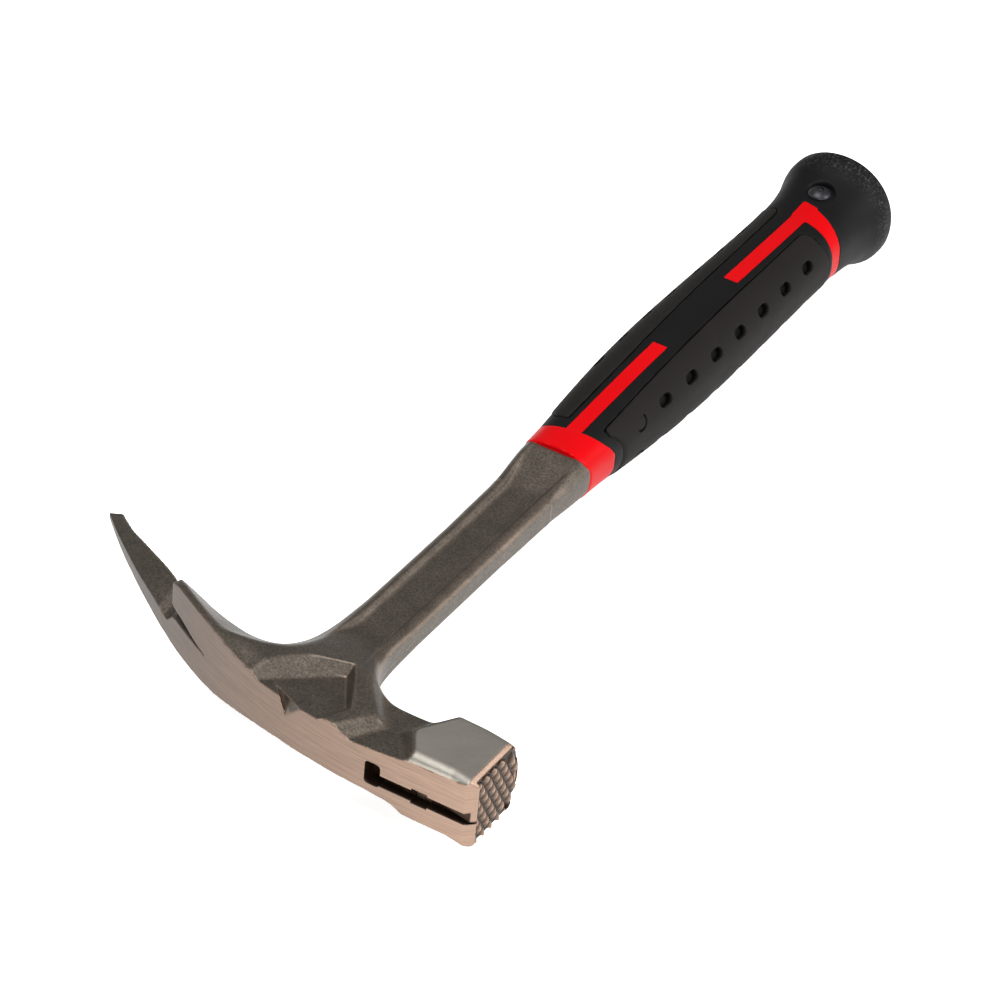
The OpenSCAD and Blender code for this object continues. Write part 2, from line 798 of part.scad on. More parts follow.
// Room that the pads take in the sleeve
module pad_room(rear_y) {
  difference() {
    intersection() {
      grip_solid(-pad_rise - over);
      upright(-pommel_w, pommel_w)
        pad_outline(rear_y, pad_gap);
    }
    grip_solid(pad_t + seat_gap);
  }
}

// Height of the grip's broad side at the screw
screw_place_share = 0.5;
screw_seat_z = grip_half_t + screw_place_share * (pommel_half - grip_half_t) - screw_recess_depth;
module grip_sleeve() {
  color(black_rubber)
    placed()
      difference() {
        grip_solid(0);
        intersection() {
          grip_solid(sleeve_wall - seat_gap);
          translate([-pommel_w, grip_start - over, -pommel_w])
            cube([2 * pommel_w, core_end - grip_start + over + seat_gap, 2 * pommel_w]);
        }
        red_places(seat_gap);
        pad_room(overall_len - front_pad_back);
        claw_side()
          pad_room(overall_len - back_pad_back);
        tang_shape(seat_gap);
        translate([-grip_shift, screw_y, 0]) {
          cylinder(d = nut_d + 2 * seat_gap, h = 2 * pommel_w, center = true);
          for (side = [0, 1])
            mirror([0, 0, side])
              translate([0, 0, screw_seat_z])
                cylinder(d = screw_recess_d, h = pommel_w);
        }
      }
}

// Button-head screw from the puller's side, and the sleeve nut it runs into.
// The shares give the head's outline in its radius and its height.
button_shares = [[0, 0], [1, 0], [1, 0.25], [0.88, 0.62], [0.66, 0.9], [0.45, 1], [0, 1]];
module button_head() {
  rotate_extrude()
    polygon([for (s = button_shares) [s[0] * screw_head_d / 2, s[1] * screw_head_h]]);
}

// Hexagon socket, cut from the head's top down to its floor
socket_floor_share = 0.4;
module hex_socket() {
  translate([0, 0, socket_floor_share * screw_head_h])
    cylinder(d = socket_w / cos(30), h = screw_head_h, $fn = 6);
}

module grip_screw() {
  shaft = screw_seat_z + tang_t;
  color(bright_steel)
    placed()
      translate([-grip_shift, screw_y, screw_seat_z])
        difference() {
          union() {
            button_head();
            translate([0, 0, -shaft])
              cylinder(d = screw_d, h = shaft + seat_gap);
          }
          hex_socket();
        }
}

module grip_nut() {
  color(bright_steel)
    placed()
      translate([-grip_shift, screw_y, -screw_seat_z])
        difference() {
          union() {
            mirror([0, 0, 1])
              button_head();
            cylinder(d = nut_d, h = 2 * screw_seat_z - 2 * seat_gap);
          }
          translate([0, 0, screw_head_h / 2])
            cylinder(d = screw_d + 2 * seat_gap, h = 2 * screw_seat_z);
          mirror([0, 0, 1])
            hex_socket();
        }
}

forged_body();
nail_magnet();
grip_core();
grip_sleeve();
front_pad();
back_pad();
grip_screw();
grip_nut();
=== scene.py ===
import math
import bpy
import numpy as np
from mathutils import Matrix, Vector


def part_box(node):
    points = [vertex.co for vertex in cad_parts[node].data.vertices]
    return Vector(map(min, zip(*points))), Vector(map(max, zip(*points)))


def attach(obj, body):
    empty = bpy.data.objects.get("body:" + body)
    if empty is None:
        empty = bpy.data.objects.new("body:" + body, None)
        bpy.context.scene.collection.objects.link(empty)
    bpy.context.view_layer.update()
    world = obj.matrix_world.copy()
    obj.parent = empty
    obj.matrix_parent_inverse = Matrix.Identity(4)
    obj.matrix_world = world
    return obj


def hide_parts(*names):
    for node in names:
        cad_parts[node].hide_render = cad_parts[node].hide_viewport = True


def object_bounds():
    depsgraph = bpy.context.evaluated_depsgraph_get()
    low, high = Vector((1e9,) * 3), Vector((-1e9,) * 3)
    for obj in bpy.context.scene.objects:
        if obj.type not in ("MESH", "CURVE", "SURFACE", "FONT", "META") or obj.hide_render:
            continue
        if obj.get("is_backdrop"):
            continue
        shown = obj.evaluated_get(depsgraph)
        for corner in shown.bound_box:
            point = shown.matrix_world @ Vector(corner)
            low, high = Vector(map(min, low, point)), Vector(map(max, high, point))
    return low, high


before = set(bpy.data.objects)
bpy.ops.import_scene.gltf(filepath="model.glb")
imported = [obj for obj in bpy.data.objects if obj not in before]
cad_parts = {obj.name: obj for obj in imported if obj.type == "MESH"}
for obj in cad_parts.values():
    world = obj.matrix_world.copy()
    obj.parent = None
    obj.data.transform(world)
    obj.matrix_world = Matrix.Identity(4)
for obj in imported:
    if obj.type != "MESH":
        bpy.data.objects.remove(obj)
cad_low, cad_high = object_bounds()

# Forging: head, claw, shank and flare are one piece of medium carbon steel, drop
# forged and shot blasted. Only the head's top and the poll are ground bright
# afterwards, so those have crisp edges and the rest has soft ones. Lengths are in
# millimetres from the middle of the handle (x, z) and from the head's top (y).
face_x = 64.0
forging_low, forging_high = (1000 * np.array(corner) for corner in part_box("forged_body"))
sleeve_low, sleeve_high = (1000 * np.array(corner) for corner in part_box("grip_sleeve"))
to_frame = np.array([
    forging_high[0] - face_x, forging_low[1], (sleeve_low[2] + sleeve_high[2]) / 2])


def soft_max(a, b, width):
    """Larger of two distances, with the edge between them rounded."""
    near = np.maximum(width - np.abs(a - b), 0) / width
    return np.maximum(a, b) + near * near * width / 4


def soft_min(a, b, width):
    """Smaller of two distances, with a fillet in the corner between them."""
    return -soft_max(-a, -b, width)


def smooth_curve(knots, per_span=10):
    """Points on a smooth curve through the knots."""
    k = np.array([knots[0], *knots, knots[-1]], float)
    k[0] = 2 * k[1] - k[2]
    k[-1] = 2 * k[-2] - k[-3]
    t = (np.arange(per_span) / per_span)[:, None]
    runs = []
    for a, b, c, d in zip(k, k[1:], k[2:], k[3:]):
        runs.append(0.5 * (2 * b + (c - a) * t + (2 * a - 5 * b + 4 * c - d) * t ** 2
                           + (3 * b - a - 3 * c + d) * t ** 3))
    return np.vstack([*runs, k[-2:-1]])


def along_rows(at, rows):
    """A size read between the rows of a table of (place, size)."""
    return np.interp(at, [row[0] for row in rows], [row[1] for row in rows])


class SideLine:
    """Distance from a line in the side view, positive on its left as it runs on."""

    def __init__(self, line, low=(-110, -6), high=(72, 166), step=0.5):
        self.low, self.step = np.array(low, float), step
        xs = np.arange(low[0], high[0] + step, step)
        ys = np.arange(low[1], high[1] + step, step)
        at = np.stack(np.meshgrid(xs, ys, indexing="ij"), -1).reshape(-1, 2)
        nearest, side = np.full(len(at), 1e9), np.zeros(len(at))
        for a, b in zip(line[:-1], line[1:]):
            run = b - a
            off = at - a
            t = np.clip(off @ run / (run @ run), 0, 1)
            far = np.hypot(*(off - t[:, None] * run).T)
            cross = (run[0] * off[:, 1] - run[1] * off[:, 0]) / np.hypot(*run)
            closer = far < nearest - 1e-9
            tie = (np.abs(far - nearest) < 1e-6) & (np.abs(cross) > np.abs(side))
            side = np.where(closer | tie, cross, side)
            nearest = np.minimum(far, nearest)
        self.field = (np.sign(side) * nearest).reshape(len(xs), len(ys))

    def __call__(self, x, y):
        u, v = (x - self.low[0]) / self.step, (y - self.low[1]) / self.step
        n, m = self.field.shape
        i = np.clip(np.floor(u).astype(int), 1, n - 3)
        j = np.clip(np.floor(v).astype(int), 1, m - 3)

        def weights(q):
            q = np.clip(q, 0, 1)
            return ((-q + 2 * q * q - q ** 3) / 2, (2 - 5 * q * q + 3 * q ** 3) / 2,
                    (q + 4 * q * q - 3 * q ** 3) / 2, (q ** 3 - q * q) / 2)
        across, down = weights(u - i), weights(v - j)
        total = 0
        for a in range(4):
            for b in range(4):
                total = total + across[a] * down[b] * self.field[i + a - 1, j + b - 1]
        return total


# Side view: the top runs from the poll to the spike's point, the underside from
# there round the arch to the shank, and the crotch from the shank to the neck.
# The top is flat over the poll and one cubic curve over the claw
t = np.linspace(0, 1, 90)[:, None]
crown = [np.array(p) for p in ((36, 0), (-16.6, 0), (-62.0, 27.1), (-102.4, 66.3))]
top_line = ((1 - t) ** 3 * crown[0] + 3 * (1 - t) ** 2 * t * crown[1]
            + 3 * (1 - t) * t ** 2 * crown[2] + t ** 3 * crown[3])
depth_below_top = SideLine(np.vstack([[(80, 0)], top_line, [(-112, 75.6)]])[::-1])
room_to_arch = SideLine(np.vstack([[(-108, 75)], smooth_curve([
    (-98.1, 68.3), (-89, 60.6), (-80, 54.7), (-71.3, 49.4), (-64, 44.7), (-59, 41.3),
    (-53, 37.6), (-45.1, 33.7), (-38, 31.2), (-32, 29.7), (-28.3, 29.1), (-24.7, 29.1),
    (-21.1, 29.8), (-17.8, 31.4), (-15.2, 34.2), (-13.3, 37.6), (-11.7, 43.2), (-10.5, 50),
    (-9.7, 60), (-9.2, 74), (-9.1, 90), (-9.1, 118)]), [(-9.1, 240)]])[::-1])
room_to_crotch = SideLine(np.vstack([[(9.1, 240)], smooth_curve([
    (9.1, 118), (9.1, 60), (9.2, 48), (10.2, 40), (12.4, 33.5), (15.8, 28.2), (20.2, 24.6),
    (25, 22.9), (32, 22.6), (39, 22.9), (46, 23.2)]), [(80, 23.2)]])[::-1])

# Plan view: half widths of the head's top on the puller's side and the far side,
# and how narrow the two slopes leave the underside
puller_half = [(-54, 10.6), (-50, 11.2), (-45, 11.2), (-40, 11.0), (-35, 10.8), (-31, 10.1),
               (-27, 9.2), (-22, 8.7), (-17, 8.3), (-8, 8.8), (4, 9.6), (12.9, 10.2)]
neck_half = [(13, 7.3), (24, 7.6), (34, 8.5), (44, 9.6), (60, 10)]
far_half = [(-102.4, 11.9), (-90, 11.5), (-80, 10.9), (-70, 10.8), (-60, 11.3), (-50, 11.8),
            (-37, 11.7), (-30, 11.2), (-22, 9.8), (-12, 8.2), (-3, 7.3), (10, 6.8), (28, 6.7),
            (36, 7.2), (45, 9.2)]
puller_ridge = [(-60, 2.0), (-10, 2.2), (6, 3.4), (22, 6.2)]
far_ridge = [(-102, 10.6), (-90, 8.4), (-80, 7.0), (-70, 5.6), (-60, 4.0), (-50, 2.8),
             (-36, 2.2), (-10, 2.2), (6, 3.4), (22, 5.8)]
edge_height, deepest_slope, least_slope = 2.4, 18.0, 1.2
neck_x, bar_end_x = 12.9, 58.0
shank_half_w, shank_half_t = 9.1, 4.3
shank_spread, shank_spread_y, claw_spread, claw_spread_x = 0.2, 52.0, 0.9, -16.0


def bar_of_head(x, y, z, top, under):
    """Claw and neck before the slot: upright edges, then a slope down to a ridge.
    Towards the shank both sides draw in to its thickness."""
    inside = np.maximum(under, 0)
    height = np.minimum(inside + np.maximum(top, 0.3), deepest_slope) - edge_height
    height = np.maximum(height, least_slope)
    sides = []
    for half, ridge, sign in ((puller_half, puller_ridge, 1), (far_half, far_ridge, -1)):
        wide, narrow = along_rows(x, half), along_rows(x, ridge)
        if sign > 0:
            wide = np.where(x > neck_x, along_rows(x, neck_half), wide)
        slope = (wide - narrow) / height
        roof = (sign * z - narrow - slope * inside) / np.sqrt(1 + slope ** 2)
        sides.append(soft_max(roof, sign * z - wide, 1.0))
    shank_side = shank_half_t + shank_spread * (shank_spread_y - y)
    shank_side = np.maximum(shank_side + claw_spread * np.maximum(claw_spread_x - x, 0), 3)
    side = soft_max(np.maximum(*sides), np.abs(z) - shank_side, 2.5)
    return np.maximum(soft_max(side, -under, 1.3), x - bar_end_x)


def plane(a, b, c, inside):
    """Outward normal and place of the plane through three points."""
    a, b, c = (np.array(p, float) for p in (a, b, c))
    normal = np.cross(b - a, c - a)
    normal /= np.linalg.norm(normal)
    if normal @ (np.array(inside, float) - a) > 0:
        normal = -normal
    return normal, normal @ a


def block(p, planes, width):
    """Convex block between planes, with its edges rounded."""
    total = None
    for normal, place in planes:
        behind = p @ normal - place
        total = behind if total is None else soft_max(total, behind, width)
    return total


# Side nail puller, between planes through three points each. The cheek has its
# face, two sides towards the neck, a foot towards the shank and an end on the claw
cheek_face_z, cheek_end_x = 10.2, -48.0
cheek_planes = [
    (np.array([0, 0, 1.0]), cheek_face_z),
    plane((18, 1.2, 10.2), (25.2, 11.6, 10.2), (21, 0, 7.4), (0, 15, 0)),
    plane((25.2, 11.6, 10.2), (15.5, 23.1, 10.2), (21.6, 21, 7), (0, 15, 0)),
    plane((-20, 26, 9.2), (20, 26, 9.6), (0, 52, 4.2), (0, 15, 0)),
    (np.array([-1.0, 0, 0]), -cheek_end_x)]
# The recess has a sloped floor and four walls
recess_planes = [
    plane((10, 2.4, 8.3), (-9.6, 7, 7.4), (0, 25, 5.4), (0, 10, 12)),
    plane((-4.2, 23.9, 9.6), (9, 29.8, 9.4), (-2.8, 21.9, 6), (0, 10, 9)),
    plane((-15.4, 10.4, 9.8), (-4.8, 24, 9.8), (-8.5, 10.1, 6.4), (0, 10, 9)),
    plane((8.8, 27.3, 10), (17.9, 9.7, 10), (14.7, 11.5, 6.6), (0, 10, 9)),
    plane((17.9, 9.7, 10), (13.6, 1.7, 9.9), (11.6, 3, 8.1), (0, 10, 9))]
# The V notch has two walls that meet in a line, and a steep end in the recess
notch_low, notch_high = (0.2, 4.3, 2.3), (-6.6, 9.5, 7.4)
notch_end, notch_end_way = np.array([-7.8, 9.6, 7.6]), np.array([-0.62, 0.72, -0.3])
notch_planes = [
    plane(notch_low, notch_high, (-2.6, 4.9, 8.6), (0, 5, 12)),
    plane(notch_low, notch_high, (4.6, 3.6, 7.6), (0, 5, 12)),
    (notch_end_way, notch_end_way @ notch_end)]

# Shank: how far the bar has grown into the oval below the grip at each place, from
# none at 122 to all of it at the grip's front
grip_front, grip_shift = 152.5, 0.6
shank_corner, flare_start, bar_stop = 12.1, 109.0, 132.0
flare_w, flare_t, bar_power, flare_power = 2.3, 4.4, 6.0, 2.8
flare_rows = [(108, -0.35), (116, -0.06), (122, 0.0), (126, 0.04), (130, 0.09), (137, 0.32),
              (144, 0.64), (149, 0.88), (grip_front, 1), (160, 1.1)]
sweep, sweep_half_w = 3.0, 12.0


def swept_back(x):
    """How far the collar's edges lie back at the handle's narrow sides."""
    return sweep * (np.abs(x + grip_shift) / sweep_half_w) ** 6


def from_oval(x, z, half_x, half_z, power):
    """Distance from an oval, which a higher power makes squarer."""
    u, v = np.abs(x) / half_x + 1e-6, np.abs(z) / half_z + 1e-6
    r = (u ** power + v ** power) ** (1 / power)
    return (r - 1) / np.hypot((u / r) ** (power - 1) / half_x, (v / r) ** (power - 1) / half_z)


def shank(x, y, z):
    """Flat bar with broken edges, which grows into an oval below the grip."""
    wide, thick = np.abs(x), np.abs(z)
    bar = soft_max(wide - shank_half_w, thick - shank_half_t, 0.5)
    bar = soft_max(bar, (wide + thick - shank_corner) / math.sqrt(2), 0.9)
    grown = along_rows(y, flare_rows)
    power = bar_power + (flare_power - bar_power) * np.clip(grown, 0, 1)
    flare = from_oval(x + grip_shift * np.maximum(grown, 0), z,
                      shank_half_w + flare_w * grown, shank_half_t + flare_t * grown, power)
    whole = soft_min(np.maximum(bar, y - bar_stop), np.maximum(flare, flare_start - y), 1.5)
    return np.maximum(whole, y - grip_front - swept_back(x) - 0.3)


panel_floor, panel_half_w, panel_start, panel_stop = 3.1, 5.3, 50.0, 134.0
panel_side_ramp, panel_low_ramp, panel_high_ramp = 0.75, 3.5, 4.2


def shank_panels(x, y, z):
    """Sunk panels on both broad sides, with sloped walls and a ramp at each end."""
    up = np.abs(z) - panel_floor
    cut = -up
    for past, ramp in ((np.abs(x) - panel_half_w, panel_side_ramp),
                       (panel_start - y, panel_low_ramp), (y - panel_stop, panel_high_ramp)):
        cut = soft_max(cut, (past - up * ramp) / math.hypot(1, ramp), 0.7)
    return cut


# Poll: its lower corners are cut back more towards the face, its underside is
# crowned, and each edge of the face has a break of its own. The teeth stand in a
# sunk field inside the face's rim
poll_half, poll_height = 11.7, 25.2
low_corner = [(45, 0.8), (52, 0.8), (57, 1.4), (61, 2.3), (64.4, 3.9)]
top_corner = [(44, 2.3), (56, 2.2), (62, 0.9)]
under_crown = [(45, 0.006), (54, 0.01), (64, 0.02)]
near_break, far_break, under_break, top_break, corner_break = 2.4, 0.6, 0.8, 2.6, 1.0
side_shoulder_x, side_shoulder_slope, side_shoulder_y = 37.9, 0.79, 11.0
low_shoulder_x, low_shoulder_slope, low_shoulder_y = 37.5, 0.8, 22.6
tooth_half_y, tooth_half_z, tooth_height = 2.0, 3.3, 1.1
teeth_low, teeth_high, teeth_near, teeth_far = 3.0, 24.6, 9.9, -11.5


def shoulder(x, y, z):
    """Sloped planes that lead the neck into the poll on both sides and underneath.
    Those at the sides come to a ridge at half the poll's height."""
    side = np.abs(z) - poll_half - side_shoulder_slope * (x - side_shoulder_x)
    side = side + 0.5 * (np.hypot(y - side_shoulder_y, 1) - 1)
    low = y - low_shoulder_y - low_shoulder_slope * (x - low_shoulder_x)
    return np.maximum(side / math.hypot(1, side_shoulder_slope, 0.5),
                      low / math.hypot(1, low_shoulder_slope))


def poll(x, y, z):
    """Eight-sided poll with broken edges, crowned underneath, and its milled face."""
    wide = np.abs(z)
    low = poll_height - along_rows(x, under_crown) * z * z
    body = soft_max(wide - poll_half, y - low, 1.4)
    corner = (wide + y - poll_half - poll_height + along_rows(x, low_corner)) / math.sqrt(2)
    body = soft_max(body, corner, 2.0)
    body = soft_max(body, (wide - y - poll_half + along_rows(x, top_corner)) / math.sqrt(2), 1.1)
    field = np.maximum(np.maximum(teeth_low - y, y - teeth_high), z - teeth_near)
    field = np.maximum(field, corner + corner_break)
    body = np.maximum(body, x - face_x + np.where(field < 0, tooth_height, 0))
    for across, edge_break in ((z - poll_half, near_break), (-z - poll_half, far_break),
                               (y - low, under_break), (-y, top_break), (corner, corner_break)):
        body = soft_max(body, (x - face_x + across + edge_break) / math.sqrt(2), 0.4)
    return soft_max(body, np.maximum(shoulder(x, y, z), 30 - x), 0.5)


# Nail holder: the pocket takes the nail's head, the groove its shank. The groove
# gets shallow towards the face, where a tapered cut keeps one side of it deep
pocket_x, pocket_z, pocket_half_x, pocket_half_z, pocket_depth = 31.6, -0.1, 2.6, 3.9, 5.4
magnet_x, magnet_z, magnet_side, groove_floor = 47.0, -1.4, 5.2, 3.0
groove_start, groove_half, magnet_depth = 32.0, 1.95, 2.5
groove_rows = [(34, 3.1), (magnet_x, groove_floor), (50, 1.6), (face_x, 1.2)]
taper_rows = [(magnet_x, groove_half), (face_x, -1.6)]


def nail_holder(x, y, z):
    """Pocket for the nail's head, groove for its shank, and the magnet's pocket."""
    pocket = soft_max(np.abs(x - pocket_x) - pocket_half_x, np.abs(z - pocket_z) - pocket_half_z, 1.6)
    pocket = np.maximum(pocket, y - pocket_depth)
    across = z - magnet_z
    groove = np.maximum(np.abs(across) - groove_half, y - along_rows(x, groove_rows))
    wedge = np.maximum(across - along_rows(x, taper_rows), -across - groove_half)
    groove = np.minimum(groove, np.maximum(wedge, y - groove_floor))
    magnet = np.maximum(np.abs(x - magnet_x), np.abs(across)) - magnet_side / 2
    magnet = np.maximum(magnet, y - groove_floor - magnet_depth)
    return np.minimum(np.minimum(pocket, np.maximum(groove, groove_start - x)), magnet)


# Slot of the claw: its two walls on the head's top, and how far the spike's wall
# leans in towards the underside
spike_wall = [(-102.4, -10.2), (-94.6, -9.2), (-84.9, -7.5), (-76.2, -6.5), (-67.3, -5.5),
              (-62, -5.3), (-58.5, -6.0), (-56.6, -5.9), (-55.0, -4.4), (-53.6, -2.4),
              (-52, -1.75), (-44, -1.8), (-39, -1.8), (-34.0, -2.0)]
spike_lean = [(-102.4, -0.6), (-82, 1.0), (-56, 2.4), (-35, 1.6)]
prong_wall = [(-54, 2.6), (-53, 1.9), (-47.6, 1.2), (-42.3, -0.3), (-38.2, -1.2), (-34.0, -2.0)]
prong_end, prong_end_y, slot_end = -54.0, 27.4, -34.4
prong_end_way, prong_corner_way = (0.85, -0.526), (-0.42, 0.9)
spike_end, spike_end_y, spike_end_way = -102.3, 66.4, (-0.42, 0.907)
cheek_foot_z, cheek_slope_rows = 2.2, [(-48, 0.55), (-24, 0.8)]
rim_rows = [(-40, 0), (-22, 0.3)]


def as_forged(p):
    """The whole forging before its top is ground and its nail holder is cut."""
    x, y, z = p.T
    top = depth_below_top(x, y)
    arch = room_to_arch(x, y)
    under = soft_min(arch, room_to_crotch(x, y), 2.0)
    body = soft_min(bar_of_head(x, y, z, top, under), shank(x, y, z), 3.0)
    cheek = soft_max(block(p, cheek_planes, 1.0), -under, 1.3)
    cheek_side = z - cheek_foot_z - along_rows(x, cheek_slope_rows) * np.maximum(arch, 0)
    cheek = soft_max(cheek, cheek_side / 1.25, 1.2)
    rim = along_rows(x, puller_half) + along_rows(x, rim_rows) * np.clip(top, 0, 6)
    cheek = soft_max(np.maximum(cheek, -z), z - rim, 0.8)
    body = soft_min(body, cheek, 1.2)
    body = soft_min(body, poll(x, y, z), 0.9)
    body = soft_max(body, -block(p, recess_planes, 0.5), 0.6)
    body = soft_max(body, -block(p, notch_planes, 0.2), 0.3)
    body = soft_max(body, -shank_panels(x, y, z), 0.6)
    share = np.clip(top / np.maximum(top + under, 1), 0, 1)
    from_spike = along_rows(x, spike_wall) + along_rows(x, spike_lean) * share - z
    from_prong = z - along_rows(x, prong_wall) - 0.5 * share
    past_prong = prong_end_way[0] * (x - prong_end) + prong_end_way[1] * (y - prong_end_y)
    slot = np.maximum(np.maximum(from_spike, np.minimum(from_prong, past_prong)), x - slot_end)
    body = soft_max(body, -slot, 0.35)
    corner = prong_corner_way[0] * (x - prong_end) + prong_corner_way[1] * (z - 9.8)
    body = np.where(x < -30, soft_max(body, np.minimum(corner, z + 1), 0.3), body)
    point = spike_end_way[0] * (x - spike_end) + spike_end_way[1] * (y - spike_end_y)
    return np.where(x < -70, soft_max(body, point, 0.3), body)


def finished_forging(p):
    body = soft_max(as_forged(p), -depth_below_top(p[:, 0], p[:, 1]), 0.25)
    return np.maximum(body, -nail_holder(*p.T))


def in_batches(distance, p, size=200000):
    return np.concatenate([distance(p[i:i + size]) for i in range(0, len(p), size)])


def slope_of(distance, p, reach=0.04):
    ways = [in_batches(distance, p + reach * e) - in_batches(distance, p - reach * e)
            for e in np.eye(3)]
    return np.stack(ways, 1) / (2 * reach)


def skin_of(distance, low, high, step):
    """Closed skin of the space where distance is negative. Each grid cell that the
    surface crosses gets one point, placed where the surface's planes there meet, so
    that crisp edges stay crisp. Only blocks of cells near the surface are worked out."""
    low, high = np.array(low, float), np.array(high, float)
    side, far, reach = 4, 9.0, 4.8 * step
    blocks = np.ceil((high - low) / (side * step)).astype(int) + 1
    centres = (np.indices(blocks).reshape(3, -1).T * side + (side - 1) / 2) * step + low
    coarse = in_batches(distance, centres).reshape(blocks)
    near = np.abs(coarse) < reach
    value = np.where(coarse < 0, -far, far)
    for axis in range(3):
        near, value = near.repeat(side, axis), value.repeat(side, axis)
    at = np.argwhere(near)
    value[tuple(at.T)] = in_batches(distance, low + at * step)
    inside = value < 0
    shape = np.array(value.shape)
    rings, crossings = [], []
    for axis in range(3):
        one, next_one = [slice(None)] * 3, [slice(None)] * 3
        one[axis], next_one[axis] = slice(0, -1), slice(1, None)
        at = np.argwhere(inside[tuple(one)] != inside[tuple(next_one)])
        after = at.copy()
        after[:, axis] += 1
        a, b = value[tuple(at.T)], value[tuple(after.T)]
        share = a / (a - b)
        point = low + at * step
        point[:, axis] += share * step
        middle = in_batches(distance, point)
        beyond = (middle < 0) == (a < 0)
        a2, s0 = np.where(beyond, middle, a), np.where(beyond, share, 0)
        b2, s1 = np.where(beyond, b, middle), np.where(beyond, 1, share)
        better = s0 + (s1 - s0) * a2 / np.where(a2 == b2, 1, a2 - b2)
        point[:, axis] += (np.clip(better, 0, 1) - share) * step
        u, v = (axis + 1) % 3, (axis + 2) % 3
        ring = []
        for du, dv in ((-1, -1), (0, -1), (0, 0), (-1, 0)):
            cell = at.copy()
            cell[:, u] += du
            cell[:, v] += dv
            ring.append(np.ravel_multi_index(cell.T, shape))
        ring = np.stack(ring, 1)
        ring[a > 0] = ring[a > 0][:, ::-1]
        rings.append(ring)
        crossings.append(point)
    rings, crossings = np.vstack(rings), np.vstack(crossings)
    normals = slope_of(distance, crossings)
    normals /= np.maximum(np.linalg.norm(normals, axis=1, keepdims=True), 1e-9)
    cells, index = np.unique(rings, return_inverse=True)
    faces = index.reshape(-1, 4)
    total = len(cells)

    def gather(amount):
        return sum(np.bincount(faces[:, i], amount, total) for i in range(4))
    count = gather(np.ones(len(faces)))
    mean = np.stack([gather(crossings[:, i]) / count for i in range(3)], 1)
    square = np.empty((total, 3, 3))
    for i in range(3):
        for j in range(3):
            square[:, i, j] = gather(normals[:, i] * normals[:, j])
    along = (normals * crossings).sum(1)
    target = np.stack([gather(along * normals[:, i]) for i in range(3)], 1)
    pull = target - np.einsum("nij,nj->ni", square, mean)
    steadying, past_cell = 0.04, 0.15 * step
    square += steadying * count[:, None, None] * np.eye(3)
    move = np.linalg.solve(square, pull[:, :, None])[:, :, 0]
    corner = low + np.stack(np.unravel_index(cells, shape), 1) * step
    points = np.clip(mean + move, corner - past_cell, corner + step + past_cell)
    return points, faces


def new_piece(name, points, faces, crisp=None):
    """Mesh object at the origin, from points in millimetres and four-sided faces. No
    point stands outside the whole object's box, and crisp is the least edge angle."""
    mesh = bpy.data.meshes.new(name)
    mesh.vertices.add(len(points))
    places = np.clip((points + to_frame) / 1000, cad_low, cad_high)
    mesh.vertices.foreach_set("co", places.astype(np.float32).ravel())
    mesh.loops.add(faces.size)
    mesh.loops.foreach_set("vertex_index", faces.astype(np.int32).ravel())
    mesh.polygons.add(len(faces))
    mesh.polygons.foreach_set("loop_start", np.arange(0, faces.size, 4, dtype=np.int32))
    mesh.update(calc_edges=True)
    mesh.validate()
    mesh.polygons.foreach_set("use_smooth", np.ones(len(mesh.polygons), bool))
    if crisp:
        mesh.set_sharp_from_angle(angle=math.radians(crisp))
    piece = bpy.data.objects.new(name, mesh)
    bpy.context.scene.collection.objects.link(piece)
    return piece


def paint(piece, name, values):
    """A value for each point of the piece, which its material reads by name."""
    layer = piece.data.attributes.new(name, "FLOAT", "POINT")
    layer.data.foreach_set("value", np.asarray(values, np.float32))


def fine(step):
    return step


def fades(value, start, end):
    """0 up to the start, growing to 1 at the end."""
    return np.clip((value - start) / (end - start), 0, 1)


# The head's top and the face are ground, the poll's sides are machined, the edges are
# worn and painted with a highlight where the steel falls away soon outside them, and
# the walls of the nail holder and the floor under the teeth are painted dark as shade
touching, poll_start = 0.12, 37.0
points, faces = skin_of(finished_forging, (-106, -3, -15), (68, 156, 15), fine(0.46))
hammer = new_piece("hammer_forging", points, faces, crisp=38)
x, y, z = points.T
forged = in_batches(as_forged, points)
ground = fades(depth_below_top(x, y), 0.3, 0.1) * (forged < 0.1)
slope = slope_of(finished_forging, points)
by_face = x > face_x - top_break
ground = np.maximum(ground, by_face * fades(slope[:, 0], 0.3, 0.55))
on_poll = (x > poll_start) * (np.abs(poll(x, y, z)) < 0.3)
polled = fades(shoulder(x, y, z), -0.3, -0.6) * on_poll
paint(hammer, "ground", ground)
paint(hammer, "polled", polled * (1 - ground))
# Edges where the steel falls away soon outside are painted bright: partly wear, partly a painted
# highlight
outside = in_batches(finished_forging, points + 0.9 * slope)
paint(hammer, "wear_and_highlight", fades(outside, 0.86, 0.36))
# Painted shade: the nail holder's walls and the floor under the teeth are darkened
holder_wall_shade = (np.abs(nail_holder(x, y, z)) < touching) * fades(depth_below_top(x, y), 0, 0.9)
teeth_floor_shade = np.abs(x - face_x + tooth_height) < touching
teeth_floor_shade = teeth_floor_shade * (y > teeth_low) * (y < teeth_high)
paint(hammer, "sunk", np.maximum(holder_wall_shade, teeth_floor_shade))


def linear(code):
    """sRGB hex to the linear colour that a shader's socket takes."""
    parts = [int(code[i:i + 2], 16) / 255 for i in (1, 3, 5)]
    return [*((c / 12.92 if c <= 0.04045 else ((c + 0.055) / 1.055) ** 2.4) for c in parts), 1]


def add(tree, kind, settings, links=()):
    """One node with its settings, and its inputs linked from a node's output."""
    node = tree.nodes.new(kind)
    for key, value in settings.items():
        if isinstance(key, str) and hasattr(node, key):
            setattr(node, key, value)
        else:
            node.inputs[key].default_value = value
    for key, source, output in links:
        tree.links.new(source.outputs[output], node.inputs[key])
    return node


